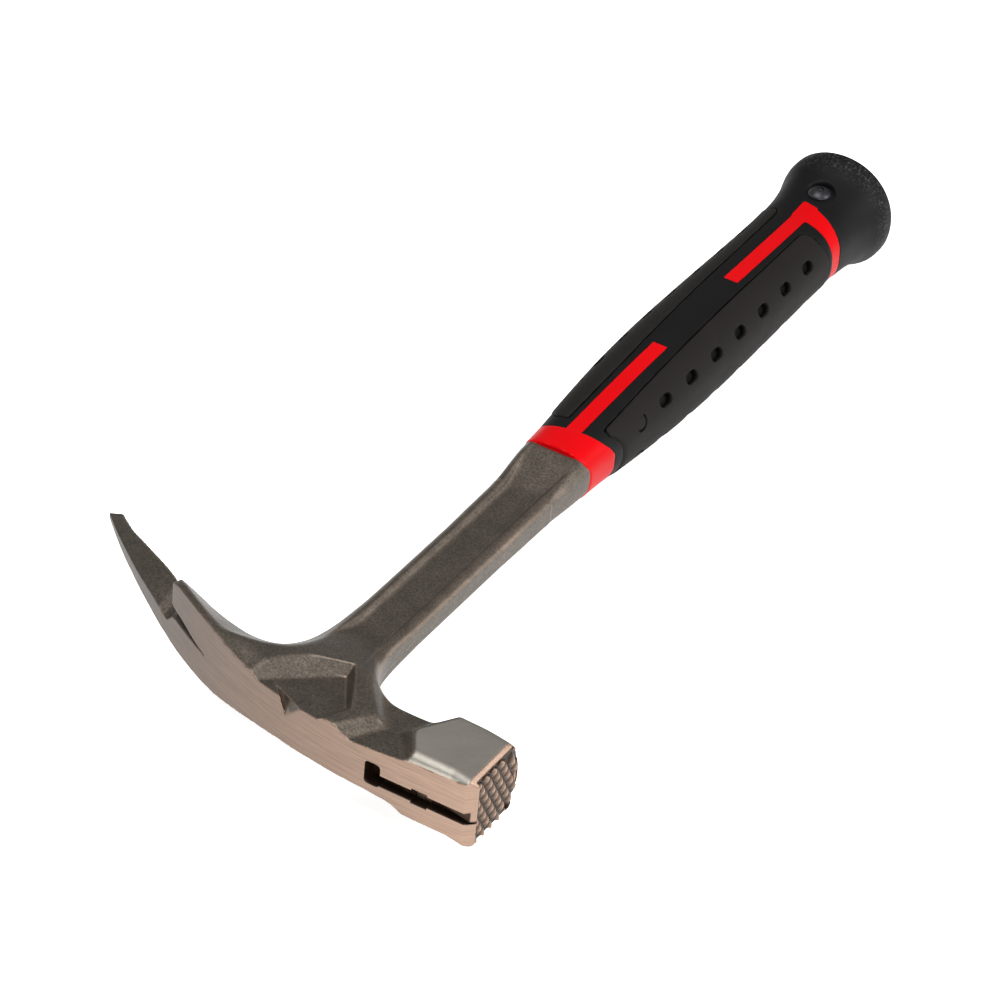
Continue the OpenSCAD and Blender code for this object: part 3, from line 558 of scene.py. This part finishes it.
def new_material(name, **sockets):
    """A material, its tree, its shader and its object coordinates."""
    material = bpy.data.materials.new(name)
    material.use_nodes = True
    tree = material.node_tree
    shader = tree.nodes["Principled BSDF"]
    for socket, value in sockets.items():
        shader.inputs[socket.replace("_", " ")].default_value = value
    return material, tree, shader, add(tree, "ShaderNodeTexCoord", {})


# Shot-blasted forged steel: a dull grey-brown scale, mottled over 6 mm, finely pitted
# by shot of 0.6 mm, and warm and bright on its edges, partly wear, partly painted highlight.
# The ground faces show the belt's streaks, 0.7 mm apart along the head, drawn coarser than
# real so that they show, and a painted warm reflection that brightens towards the striking face.
steel, tree, shader, place = new_material("shot_blasted_steel")
mottle = add(tree, "ShaderNodeTexNoise", {"Scale": 160.0, "Detail": 5.0, "Roughness": 0.6},
             [("Vector", place, "Object")])
grit = add(tree, "ShaderNodeTexNoise", {"Scale": 1600.0, "Detail": 3.0, "Roughness": 0.7},
           [("Vector", place, "Object")])
scale = add(tree, "ShaderNodeMix", {"data_type": "RGBA", 6: linear("#3f3a34"), 7: linear("#5f574e")},
            [(0, mottle, 0)])
speckle = add(tree, "ShaderNodeMapRange", {
    "From Min": 0.34, "From Max": 0.66, "To Min": 0.6, "To Max": 1.5}, [("Value", grit, 0)])
scale = add(tree, "ShaderNodeMix", {"data_type": "RGBA", "blend_type": "MULTIPLY", 0: 1.0},
            [(6, scale, 2), (7, speckle, 0)])
# Edge wear and painted highlight: a warm bright colour, clouded, on the edges
wear_and_highlight = add(tree, "ShaderNodeAttribute", {"attribute_name": "wear_and_highlight"})
rubbed_and_highlit = add(tree, "ShaderNodeMath", {"operation": "MULTIPLY"}, [(0, wear_and_highlight, "Fac"), (1, mottle, 0)])
scale = add(tree, "ShaderNodeMix", {"data_type": "RGBA", 7: linear("#a08c7c")},
            [(0, rubbed_and_highlit, 0), (6, scale, 2)])
ground = add(tree, "ShaderNodeAttribute", {"attribute_name": "ground"})
polled = add(tree, "ShaderNodeAttribute", {"attribute_name": "polled"})
belt = add(tree, "ShaderNodeMapping", {"Scale": (60.0, 60.0, 1500.0)}, [("Vector", place, "Object")])
streaks = add(tree, "ShaderNodeTexNoise", {"Scale": 1.0, "Detail": 4.0, "Roughness": 0.65},
              [("Vector", belt, 0)])
along = add(tree, "ShaderNodeSeparateXYZ", {}, [(0, place, "Object")])
# Painted reflection: the ground faces run from a dull grey-brown to a bright warm peach towards the
# striking face
painted_glow_to_face = add(tree, "ShaderNodeMapRange", {"From Min": -0.05, "From Max": 0.08},
                   [("Value", along, 0)])
ground_with_painted_glow = add(tree, "ShaderNodeMix", {"data_type": "RGBA", 6: linear("#645d57"), 7: linear("#b79a87")},
             [(0, painted_glow_to_face, 0)])
ground_with_painted_glow = add(tree, "ShaderNodeMix", {"data_type": "RGBA", "blend_type": "MULTIPLY", 0: 0.6},
             [(6, ground_with_painted_glow, 2), (7, streaks, 0)])
plain = add(tree, "ShaderNodeMix", {"data_type": "RGBA", 6: linear("#85817a"), 7: linear("#a09b92")},
            [(0, streaks, 0)])
colour = add(tree, "ShaderNodeMix", {"data_type": "RGBA"},
             [(0, polled, "Fac"), (6, scale, 2), (7, plain, 2)])
colour = add(tree, "ShaderNodeMix", {"data_type": "RGBA"},
             [(0, ground, "Fac"), (6, colour, 2), (7, ground_with_painted_glow, 2)])
# Painted shade: a dark brown where the nail holder's walls, the floor under the teeth and the teeth's
# feet lie in shade
sunk = add(tree, "ShaderNodeAttribute", {"attribute_name": "sunk"})
colour = add(tree, "ShaderNodeMix", {"data_type": "RGBA", 7: linear("#33241a")},
             [(0, sunk, "Fac"), (6, colour, 2)])
tree.links.new(colour.outputs[2], shader.inputs["Base Color"])
machined = add(tree, "ShaderNodeMath", {"operation": "MAXIMUM"},
               [(0, ground, "Fac"), (1, polled, "Fac")])
roughness = add(tree, "ShaderNodeMapRange", {"To Min": 0.46, "To Max": 0.5}, [("Value", machined, 0)])
tree.links.new(roughness.outputs[0], shader.inputs["Roughness"])
metal = add(tree, "ShaderNodeMapRange", {"To Min": 0.75, "To Max": 0.95}, [("Value", machined, 0)])
tree.links.new(metal.outputs[0], shader.inputs["Metallic"])
surface = add(tree, "ShaderNodeMix", {"data_type": "FLOAT"},
              [(0, machined, 0), (2, grit, 0), (3, streaks, 0)])
bump = add(tree, "ShaderNodeBump", {"Strength": 0.55, "Distance": 0.00012}, [("Height", surface, 0)])
bump = add(tree, "ShaderNodeBump", {"Strength": 0.25, "Distance": 0.0005},
           [("Height", mottle, 0), ("Normal", bump, 0)])
tree.links.new(bump.outputs[0], shader.inputs["Normal"])
hammer.data.materials.append(steel)
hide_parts("forged_body")
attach(hammer, "root")


# Teeth of the milled face: rows of cut pyramids on diamond-shaped feet, left
# standing where V grooves were milled across the face both ways. They grip the
# nail's head. A tooth that runs over the field's edge is cut off there, and none
# stands on the poll's two lower corners.
tree = bpy.data.node_groups.new("milled_teeth", "GeometryNodeTree")
tree.interface.new_socket("Geometry", in_out="OUTPUT", socket_type="NodeSocketGeometry")
tooth_inputs = {}
for label, kind, value in (("Half Length", "NodeSocketFloat", tooth_half_y / 1000),
                           ("Half Width", "NodeSocketFloat", tooth_half_z / 1000),
                           ("Height", "NodeSocketFloat", tooth_height / 1000),
                           ("Corner Reach", "NodeSocketFloat", 0.0155),
                           ("Rows", "NodeSocketInt", 6), ("Columns", "NodeSocketInt", 4)):
    socket = tree.interface.new_socket(label, in_out="INPUT", socket_type=kind)
    socket.default_value = value
    tooth_inputs[label] = (socket.identifier, value)
sizes = add(tree, "NodeGroupInput", {})
grids = []
for fewer in (1.0, 2.0):
    spans, counts = [], []
    for count, half in (("Rows", "Half Length"), ("Columns", "Half Width")):
        pitch = add(tree, "ShaderNodeMath", {"operation": "MULTIPLY", 1: 2.0}, [(0, sizes, half)])
        gaps = add(tree, "ShaderNodeMath", {"operation": "SUBTRACT", 1: fewer}, [(0, sizes, count)])
        counts.append(add(tree, "ShaderNodeMath", {"operation": "ADD", 1: 1.0}, [(0, gaps, 0)]))
        spans.append(add(tree, "ShaderNodeMath", {"operation": "MULTIPLY"}, [
            (0, gaps, 0), (1, pitch, 0)]))
    grids.append(add(tree, "GeometryNodeMeshGrid", {}, [
        ("Size X", spans[0], 0), ("Size Y", spans[1], 0), ("Vertices X", counts[0], 0),
        ("Vertices Y", counts[1], 0)]))
places = add(tree, "GeometryNodeJoinGeometry", {}, [(0, grids[0], "Mesh"), (0, grids[1], "Mesh")])
spot = add(tree, "GeometryNodeInputPosition", {})
spot = add(tree, "ShaderNodeSeparateXYZ", {}, [(0, spot, 0)])
aside = add(tree, "ShaderNodeMath", {"operation": "ABSOLUTE"}, [(0, spot, "Y")])
outward = add(tree, "ShaderNodeMath", {"operation": "ADD"}, [(0, spot, "X"), (1, aside, 0)])
in_corner = add(tree, "ShaderNodeMath", {"operation": "GREATER_THAN"}, [
    (0, outward, 0), (1, sizes, "Corner Reach")])
places = add(tree, "GeometryNodeDeleteGeometry", {}, [
    ("Geometry", places, 0), ("Selection", in_corner, 0)])
tooth = add(tree, "GeometryNodeMeshCone", {
    "Vertices": 4, "Radius Top": 0.2, "Radius Bottom": 1.0}, [("Depth", sizes, "Height")])
foot = add(tree, "ShaderNodeCombineXYZ", {"Z": 1.0}, [
    ("X", sizes, "Half Length"), ("Y", sizes, "Half Width")])
diamond = add(tree, "GeometryNodeTransform", {}, [("Geometry", tooth, "Mesh"), ("Scale", foot, 0)])
rows = add(tree, "GeometryNodeInstanceOnPoints", {}, [("Points", places, 0), ("Instance", diamond, 0)])
middle = [face_x - tooth_height, (teeth_low + teeth_high) / 2, (teeth_near + teeth_far) / 2]
upright = add(tree, "GeometryNodeTransform", {
    "Rotation": (math.pi / 2, 0, math.pi / 2), "Translation": (np.array(middle) + to_frame) / 1000},
    [("Geometry", rows, 0)])
real = add(tree, "GeometryNodeRealizeInstances", {}, [(0, upright, 0)])
place = add(tree, "GeometryNodeInputPosition", {})
above = add(tree, "ShaderNodeVectorMath", {"operation": "MAXIMUM", 1: (
    np.array([0, teeth_low, teeth_far]) + to_frame) / 1000}, [(0, place, 0)])
cut = add(tree, "ShaderNodeVectorMath", {"operation": "MINIMUM", 1: (
    np.array([face_x, teeth_high, teeth_near]) + to_frame) / 1000}, [(0, above, 0)])
trimmed = add(tree, "GeometryNodeSetPosition", {}, [("Geometry", real, 0), ("Position", cut, 0)])
finish = add(tree, "GeometryNodeSetMaterial", {"Material": steel}, [("Geometry", trimmed, 0)])
add(tree, "NodeGroupOutput", {}, [(0, finish, 0)])
builder = bpy.data.objects.new("teeth_builder", bpy.data.meshes.new("teeth_builder"))
bpy.context.scene.collection.objects.link(builder)
modifier = builder.modifiers.new("teeth", "NODES")
modifier.node_group = tree
for identifier, value in tooth_inputs.values():
    modifier[identifier] = value
view_layer = bpy.context.view_layer
view_layer.update()
mesh = bpy.data.meshes.new_from_object(builder.evaluated_get(view_layer.depsgraph))
bpy.data.objects.remove(builder)
teeth = bpy.data.objects.new("face_teeth", mesh)
bpy.context.scene.collection.objects.link(teeth)
# Painted shade: each tooth is painted darker from its crest down to its foot, where the pits between the
# teeth lie in shade
height = np.array([1000 * v.co.x - to_frame[0] - face_x + tooth_height for v in mesh.vertices])
paint(teeth, "ground", fades(height, 0, tooth_height))
paint(teeth, "sunk", height < 0.1)
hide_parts("forged_body")
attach(teeth, "root")


# Tang: the forging goes on inside the grip as a plain bar almost to the pommel,
# with a hole near its end for the screw that clamps the grip.
tang_half_w, tang_half_t, tang_corner, tang_end = 7.5, 3.5, 10.2, 331.0
screw_y, screw_hole_radius = 321.5, 3.05


def tang_bar(p):
    x, y, z = p.T
    wide, thick = np.abs(x + grip_shift), np.abs(z)
    bar = np.maximum(wide - tang_half_w, thick - tang_half_t)
    bar = np.maximum(bar, (wide + thick - tang_corner) / math.sqrt(2))
    bar = np.maximum(bar, np.maximum(grip_front - 0.4 - y, y - tang_end))
    return np.maximum(bar, screw_hole_radius - np.hypot(x + grip_shift, y - screw_y))


def round_tang(p, room):
    """Distance from the tang's plain sides, with some room round them."""
    x, y, z = p.T
    return np.maximum(np.abs(x + grip_shift) - tang_half_w, np.abs(z) - tang_half_t) - room


points, faces = skin_of(tang_bar, (-10, 150, -6), (9, 334, 6), 1.2)
tang = new_piece("forging_tang", points, faces, crisp=38)
paint(tang, "ground", np.zeros(len(points)))
tang.data.materials.append(steel)
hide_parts("forged_body")
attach(tang, "root")


# Nail magnet: a small nickel-plated block, pressed into the groove of the nail
# holder so that its face is the groove's floor.
def magnet_block(p):
    x, y, z = p.T
    away = np.maximum(np.abs(x - magnet_x), np.abs(z - magnet_z)) - magnet_side / 2 + 0.05
    sides = soft_max(away, groove_floor - y, 0.5)
    return np.maximum(sides, y - groove_floor - magnet_depth)


def clouded_finish(name, dark, light, clouds, roughness, bump, grain=None, **sockets):
    """A finish in two close colours, clouded together, whose roughness follows the
    clouds and whose surface is raised by them or by a finer grain. Clouds and grain
    are a noise's scale and detail, and bump is its strength and its depth."""
    material, tree, shader, place = new_material(name, **sockets)
    cloudy = add(tree, "ShaderNodeTexNoise", {"Scale": clouds[0], "Detail": clouds[1]},
                 [("Vector", place, "Object")])
    raised = cloudy
    if grain:
        raised = add(tree, "ShaderNodeTexNoise", {"Scale": grain[0], "Detail": grain[1]},
                     [("Vector", place, "Object")])
    colour = add(tree, "ShaderNodeMix", {"data_type": "RGBA", 6: linear(dark), 7: linear(light)},
                 [(0, cloudy, 0)])
    tree.links.new(colour.outputs[2], shader.inputs["Base Color"])
    rough = add(tree, "ShaderNodeMapRange", {"To Min": roughness[0], "To Max": roughness[1]},
                [("Value", cloudy, 0)])
    tree.links.new(rough.outputs[0], shader.inputs["Roughness"])
    skin = add(tree, "ShaderNodeBump", {"Strength": bump[0], "Distance": bump[1]},
               [("Height", raised, 0)])
    tree.links.new(skin.outputs[0], shader.inputs["Normal"])
    return material, tree, shader, place, colour


points, faces = skin_of(magnet_block, (43, 2, -5), (51, 7, 3), 0.16)
magnet = new_piece("nail_magnet_block", points, faces, crisp=38)
# Nickel plate: metal painted a dark warm brown as shade for its place down in the groove, clouded in
# spots of about 1.5 mm
nickel = clouded_finish("nickel_plate", "#5b4c40", "#8d7a6a", clouds=(700.0, 4.0),
                        roughness=(0.25, 0.5), bump=(0.3, 0.00005), Metallic=1.0)[0]
magnet.data.materials.append(nickel)
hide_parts("nail_magnet")
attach(magnet, "root")


# Black sleeve: soft thermoplastic rubber moulded over the red core, flush with it.
# It leaves the core's collar, stripes and half band open, has a bed for each pad,
# and a round recess on both sides for the screw's head and the nut's.
grip_end = grip_front + 187.5
grip_sections = smooth_curve([
    (152.5, 11.7, 9.1), (162.3, 12.2, 9.55), (171.3, 12.95, 10.1), (180.6, 13.75, 10.7),
    (191.9, 14.6, 11.3), (206.9, 15.45, 11.95), (229.4, 16.0, 12.3), (255.6, 15.85, 12.2),
    (274.4, 15.55, 12.0), (291.3, 15.3, 11.85), (302.5, 15.3, 11.85), (309, 15.45, 12.0),
    (314.7, 15.75, 12.55), (319.4, 16.15, 13.3), (324.1, 16.85, 14.45), (328.2, 17.7, 15.95),
    (331.6, 18.7, 17.8), (334, 19.3, 19.05), (336.1, 19.5, 19.5), (342, 19.5, 19.5)])
grip_squareness = [(152.5, 2.75), (166, 2.65), (182, 2.6), (230, 2.6), (312, 2.5), (325, 2.3),
                   (336, 2.1)]


def grip_surface(x, y, z):
    """Distance from the smooth outside of the grip, without its ends."""
    half_w, half_t = (np.interp(y, grip_sections[:, 0], grip_sections[:, i]) for i in (1, 2))
    return from_oval(x + grip_shift, z, half_w, half_t, along_rows(y, grip_squareness))


stripe_half, stripe_shift = 2.5, 0.2
low_stripe_end, high_stripe_start, high_stripe_end = 215.5, 260.6, 314.6
band_high, band_low, band_side = 314.9, 306.4, -3.0
high_lean, low_lean = 0.37, -0.13


def collar_end(x):
    """Where along the handle the collar ends and the sleeve starts."""
    return 162.4 + 0.15 * x + swept_back(x)


def red_marks(x, y):
    """Seen from above: where the red core's stripes and half band come up."""
    across = np.abs(x + stripe_shift) - stripe_half
    low_stripe = np.maximum(across, y - low_stripe_end)
    high_stripe = soft_max(across, np.maximum(high_stripe_start - y, y - high_stripe_end), 0.6)
    above = (y - band_high + high_lean * x) / math.hypot(1, high_lean)
    below = (band_low + low_lean * x - y) / math.hypot(1, low_lean)
    band = soft_max(np.maximum(above, below), band_side - x, 1.6)
    return np.minimum(low_stripe, soft_min(high_stripe, band, 1.2))


front_pad_edge = [(170, 6.9), (204, 6.2), (246, 5.3), (293, 4.8)]
back_pad_edge = [(165, 4.9), (200, 5.3), (250, 7.2), (310, 8.2)]


def pad_shape(x, y, side):
    """Seen from above: a pad on the face's side (1) or the claw's side (-1)."""
    front, rear, edge_rows = (169.3, 300.6, front_pad_edge) if side > 0 else (
        167.5, 308.5, back_pad_edge)
    out = side * x
    edge = along_rows(y, edge_rows) - out
    shape = soft_max(edge, (front + 1.1 * np.maximum(out - 9, 0) - y) / 1.2, 1.2)
    return soft_max(shape, (y - rear - 0.4 * np.maximum(out - 11, 0)) / 1.05, 3.0)


pad_gap, pad_bed, pad_rise = 0.35, 1.9, 0.3
mark_depth, sleeve_wall, core_front, core_end = 1.5, 3.2, 172.0, 315.4
screw_seat, recess_radius = 13.3, 4.9


def sleeve_skin(p):
    x, y, z = p.T
    outside = grip_surface(x, y, z)
    body = soft_max(outside, y - grip_end + 0.0034 * (x * x + z * z), 1.3)
    body = soft_max(body, collar_end(x) - y, 0.6)
    marks = red_marks(x, y) - 0.05
    body = soft_max(body, -np.maximum(marks, -outside - mark_depth), 0.4)
    for side in (1, -1):
        bed = pad_shape(x, y, side) - pad_gap
        body = soft_max(body, -np.maximum(bed, -outside - pad_bed), 0.5)
    recess = np.maximum(np.hypot(x + grip_shift, y - screw_y) - recess_radius, screw_seat - np.abs(z))
    body = soft_max(body, -recess, 0.8)
    core_room = np.maximum(core_front - 0.05 - y, y - (core_end + 0.1))
    core_room = np.maximum(outside + sleeve_wall, core_room)
    tang_room = np.maximum(round_tang(p, 0.05), y - core_front)
    return np.maximum(body, -np.minimum(core_room, tang_room))


points, faces = skin_of(sleeve_skin, (-23, 158, -22), (22, 343, 22), fine(0.5))
sleeve = new_piece("rubber_sleeve", points, faces, crisp=50)
x, y, z = points.T
pommel_start = 312.0
paint(sleeve, "rim", fades(y, 329, 335))
# Painted shade: the sleeve is darkened where it lies more than 0.9 mm below the grip's outside
paint(sleeve, "deep", fades(-grip_surface(x, y, z), 0.9, 1.9) * (y < pommel_start))
# Black soft rubber: moulded dead matt over a fine grain, and scuffed grey in fine
# flecks round the pommel's end. Down in the pads' slots it is painted black as shade
rubber, tree, shader, place, colour = clouded_finish(
    "black_soft_rubber", "#080808", "#0e0e0e", clouds=(90.0, 4.0), grain=(2200.0, 2.0),
    roughness=(0.5, 0.68), bump=(0.3, 0.00008), Specular_IOR_Level=0.13)
rim = add(tree, "ShaderNodeAttribute", {"attribute_name": "rim"})
scuffs = add(tree, "ShaderNodeTexNoise", {"Scale": 1100.0, "Detail": 6.0, "Roughness": 0.8},
             [("Vector", place, "Object")])
flecks = add(tree, "ShaderNodeMapRange", {"From Min": 0.52, "From Max": 0.68, "To Max": 0.7},
             [("Value", scuffs, 0)])
scuffed = add(tree, "ShaderNodeMath", {"operation": "MULTIPLY"}, [(0, rim, "Fac"), (1, flecks, 0)])
colour = add(tree, "ShaderNodeMix", {"data_type": "RGBA", 7: linear("#5a5a5a")},
             [(0, scuffed, 0), (6, colour, 2)])
# Painted shade: near black down in the pads' slots
deep = add(tree, "ShaderNodeAttribute", {"attribute_name": "deep"})
colour = add(tree, "ShaderNodeMix", {"data_type": "RGBA", 7: linear("#020202")},
             [(0, deep, "Fac"), (6, colour, 2)])
tree.links.new(colour.outputs[2], shader.inputs["Base Color"])
sleeve.data.materials.append(rubber)
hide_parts("grip_sleeve")
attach(sleeve, "root")


# Red core: hard ABS, injection moulded round the tang. Its collar, stripes and
# half band come up through the sleeve; the rest of it is hidden.
def red_front(p):
    x, y, z = p.T
    outside = grip_surface(x, y, z)
    collar = soft_max(outside, grip_front + swept_back(x) - y, 0.5)
    collar = soft_max(collar, y - collar_end(x) - 0.3, 0.2)
    raised = np.maximum(np.maximum(outside + 0.12, -outside - sleeve_wall - 0.2), red_marks(x, y))
    body = np.minimum(collar, np.maximum(raised, collar_end(x) - 2 - y))
    return np.maximum(body, -round_tang(p, -0.1))


def red_inside(p):
    x, y, z = p.T
    body = np.maximum(core_front - y, y - core_end)
    body = np.maximum(body, grip_surface(x, y, z) + sleeve_wall + 0.05)
    return np.maximum(body, -round_tang(p, 0.05))


# Red ABS: a clear strong red with a satin moulded surface
abs_plastic = clouded_finish(
    "red_abs", "#b40004", "#c60008", clouds=(70.0, 3.0), grain=(1800.0, 2.0),
    roughness=(0.34, 0.46), bump=(0.15, 0.00005), Specular_IOR_Level=0.1)[0]
points, faces = skin_of(red_front, (-16, 150, -15), (18, 317, 15), fine(0.42))
shown = new_piece("red_core_marks", points, faces, crisp=40)
points, faces = skin_of(red_inside, (-18, 158, -16), (17, 319, 16), 1.6)
hidden = new_piece("red_core_body", points, faces, crisp=40)
for piece in (shown, hidden):
    piece.data.materials.append(abs_plastic)
    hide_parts("grip_core")
    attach(piece, "root")


# Grip pads: softer grey-black rubber, moulded in one shot and bonded into the
# sleeve's beds. Each has a row of seven slots on both of its broad sides, and a
# shallow crescent before the first slot.
hole_pitch, hole_count, hole_half, hole_radius, hole_depth = 15.33, 7, 1.5, 1.75, 3.0
crescent_radius, crescent_half, crescent_depth = 2.9, 0.4, 0.5
crescent_back, crescent_aside, crescent_cut = 14.3, 0.2, 16.2


def pad_skin(side):
    def distance(p):
        x, y, z = p.T
        outside = grip_surface(x, y, z)
        body = soft_max(outside - pad_rise, pad_shape(x, y, side), 0.8)
        body = np.maximum(body, -outside - pad_bed + 0.05)
        out, first_hole, hole_turn = x, 197.0, math.radians(28.5)
        if side < 0:
            out, first_hole, hole_turn = -x - 2 * grip_shift, 200.5, math.radians(32.6)
        row = first_hole + hole_pitch * np.clip(
            np.round((y - first_hole) / hole_pitch), 0, hole_count - 1)
        around = np.abs(z) * math.cos(hole_turn) - out * math.sin(hole_turn)
        slot = np.hypot(around, np.maximum(np.abs(y - row) - hole_half, 0)) - hole_radius
        body = soft_max(body, -np.maximum(slot, -outside - hole_depth), 0.4)
        ring = np.hypot(around - crescent_aside, y - first_hole + crescent_back) - crescent_radius
        rest = np.maximum(around - 1.2, first_hole - crescent_cut - y)
        crescent = np.maximum(np.abs(ring) - crescent_half, rest)
        return soft_max(body, -np.maximum(crescent, -outside - crescent_depth), 0.2)
    return distance


# Grey-black rubber: a little browner and rougher than the sleeve, and painted black as shade in the
# slots
pad_rubber, tree, shader, place, colour = clouded_finish(
    "grey_black_rubber", "#13110f", "#1b1816", clouds=(120.0, 4.0), grain=(1500.0, 3.0),
    roughness=(0.66, 0.82), bump=(0.35, 0.0001), Specular_IOR_Level=0.15)
deep = add(tree, "ShaderNodeAttribute", {"attribute_name": "deep"})
colour = add(tree, "ShaderNodeMix", {"data_type": "RGBA", 7: linear("#020202")},
             [(0, deep, "Fac"), (6, colour, 2)])
tree.links.new(colour.outputs[2], shader.inputs["Base Color"])
for name, node, side, low, high in (
        ("front_grip_pad", "front_pad", 1, (3, 162, -15), (19, 304, 15)),
        ("back_grip_pad", "back_pad", -1, (-20, 162, -16), (-3, 320, 16))):
    points, faces = skin_of(pad_skin(side), low, high, fine(0.44))
    piece = new_piece(name, points, faces, crisp=50)
    # Painted shade: the pads darken with depth in their slots
    paint(piece, "deep", fades(-grip_surface(*points.T), 0.25, 0.75))
    piece.data.materials.append(pad_rubber)
    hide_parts(node)
    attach(piece, "root")


# Grip screw and sleeve nut: steel with a black oxide finish. Both have a low round
# head with a hexagon socket, and the screw runs into the nut through the tang.
head_radius, head_height, ball_radius, ball_drop = 3.8, 2.2, 5.05, 3.0
socket_half, socket_turn, shaft_radius, shaft_length = 1.25, 0.3, 2.0, 12.0


def round_head(p, up):
    x, y, z = p.T
    z = up * z - screw_seat
    radius = np.hypot(x + grip_shift, y - screw_y)
    ball = np.hypot(radius, z + ball_drop) - ball_radius
    head = soft_max(np.maximum(soft_max(ball, radius - head_radius, 0.4), -z), z - head_height, 0.5)
    socket = 0.7 + 0.35 * radius - z
    for turn in range(3):
        a = socket_turn + turn * math.pi / 3
        flat = np.abs((x + grip_shift) * math.cos(a) + (y - screw_y) * math.sin(a))
        socket = np.maximum(socket, flat - socket_half)
    shaft = np.maximum(radius - shaft_radius, np.maximum(z - 0.1, -z - shaft_length))
    return np.minimum(soft_max(head, -socket, 0.15), shaft)


# Black oxide: dark bluish steel with a thin oily sheen that is dull in spots
oxide = clouded_finish("black_oxide_steel", "#26262a", "#3c3c40", clouds=(900.0, 4.0),
                       roughness=(0.3, 0.5), bump=(0.3, 0.00005), Metallic=0.7)[0]
for name, node, up in (("button_screw", "grip_screw", 1), ("sleeve_nut", "grip_nut", -1)):
    low, high = ((-5.5, 316.5, 0), (4.5, 326.5, 17)) if up > 0 else ((-5.5, 316.5, -17), (4.5, 326.5, 0))
    points, faces = skin_of(lambda p: round_head(p, up), low, high, 0.17)
    piece = new_piece(name, points, faces, crisp=40)
    piece.data.materials.append(oxide)
    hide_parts(node)
    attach(piece, "root")


# Floor: a plain white studio table, which shows as white where nothing shades it.
reach = 4.0
floor = bpy.data.objects.new("studio_floor", bpy.data.meshes.new("studio_floor"))
floor.data.from_pydata([(-reach, -reach, 0), (reach, -reach, 0), (reach, reach, 0), (-reach, reach, 0)],
                       [], [(0, 1, 2, 3)])
bpy.context.scene.collection.objects.link(floor)
table, tree, shader, place = new_material("white_table", Roughness=0.9)
shader.inputs["Base Color"].default_value = linear("#e8e8e8")
rays = add(tree, "ShaderNodeLightPath", {})
seen = add(tree, "ShaderNodeMath", {"operation": "MAXIMUM"},
           [(0, rays, "Is Camera Ray"), (1, rays, "Is Glossy Ray")])
seen = add(tree, "ShaderNodeMath", {"operation": "MAXIMUM"},
           [(0, seen, 0), (1, rays, "Is Transmission Ray")])
lift = add(tree, "ShaderNodeMath", {"operation": "MULTIPLY", 1: 0.72}, [(0, seen, 0)])
shader.inputs["Emission Color"].default_value = (1, 1, 1, 1)
tree.links.new(lift.outputs[0], shader.inputs["Emission Strength"])
floor.data.materials.append(table)
floor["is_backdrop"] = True


# Light: a white studio round the object, a large softbox over the head, one on the
# striking face's side, and one near the camera's right for the head's top.
bpy.context.scene.view_settings.view_transform = "Standard"
world = bpy.data.worlds.new("white_studio")
bpy.context.scene.world = world
world.use_nodes = True
world.node_tree.nodes["Background"].inputs["Color"].default_value = (1, 1, 1, 1)
world.node_tree.nodes["Background"].inputs["Strength"].default_value = 0.3
for name, spot, energy, size in (
        ("softbox_over", (-0.15, -0.35, 1.3), 16.5, 0.9),
        ("softbox_side", (1.1, 0.35, 0.75), 15.0, 0.8),
        ("softbox_front", (0.8, -1.3, 0.5), 9.5, 0.7)):
    lamp = bpy.data.lights.new(name, "AREA")
    lamp.energy, lamp.size = energy, size
    stand = bpy.data.objects.new(name, lamp)
    bpy.context.scene.collection.objects.link(stand)
    stand.location = spot
    stand.rotation_euler = (-Vector(spot)).to_track_quat("-Z", "Y").to_euler()


# Camera: where the photographer stood, in front of the striking end, looking down
# over the head along the handle with a long lens.
camera = bpy.data.objects.new("camera", bpy.data.cameras.new("camera"))
bpy.context.scene.collection.objects.link(camera)
camera.data.sensor_width, camera.data.lens = 36, 168.0
camera.data.clip_start, camera.data.clip_end = 0.05, 20
azimuth, elevation, roll = (math.radians(angle) for angle in (27.855, 36.277, 5.57))
distance, to_right, upwards = 1400.9, -12.75, -5.13
turn = (Matrix.Rotation(azimuth, 3, "Z") @ Matrix.Rotation(math.pi / 2 - elevation, 3, "X")
        @ Matrix.Rotation(roll, 3, "Z"))
look_at = np.array([0, 145.5, 0]) + to_frame
spot = look_at + np.array(turn @ Vector((to_right, upwards, distance)))
camera.matrix_world = Matrix.Translation(spot / 1000) @ turn.to_4x4()
bpy.context.scene.camera = camera

low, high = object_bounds()
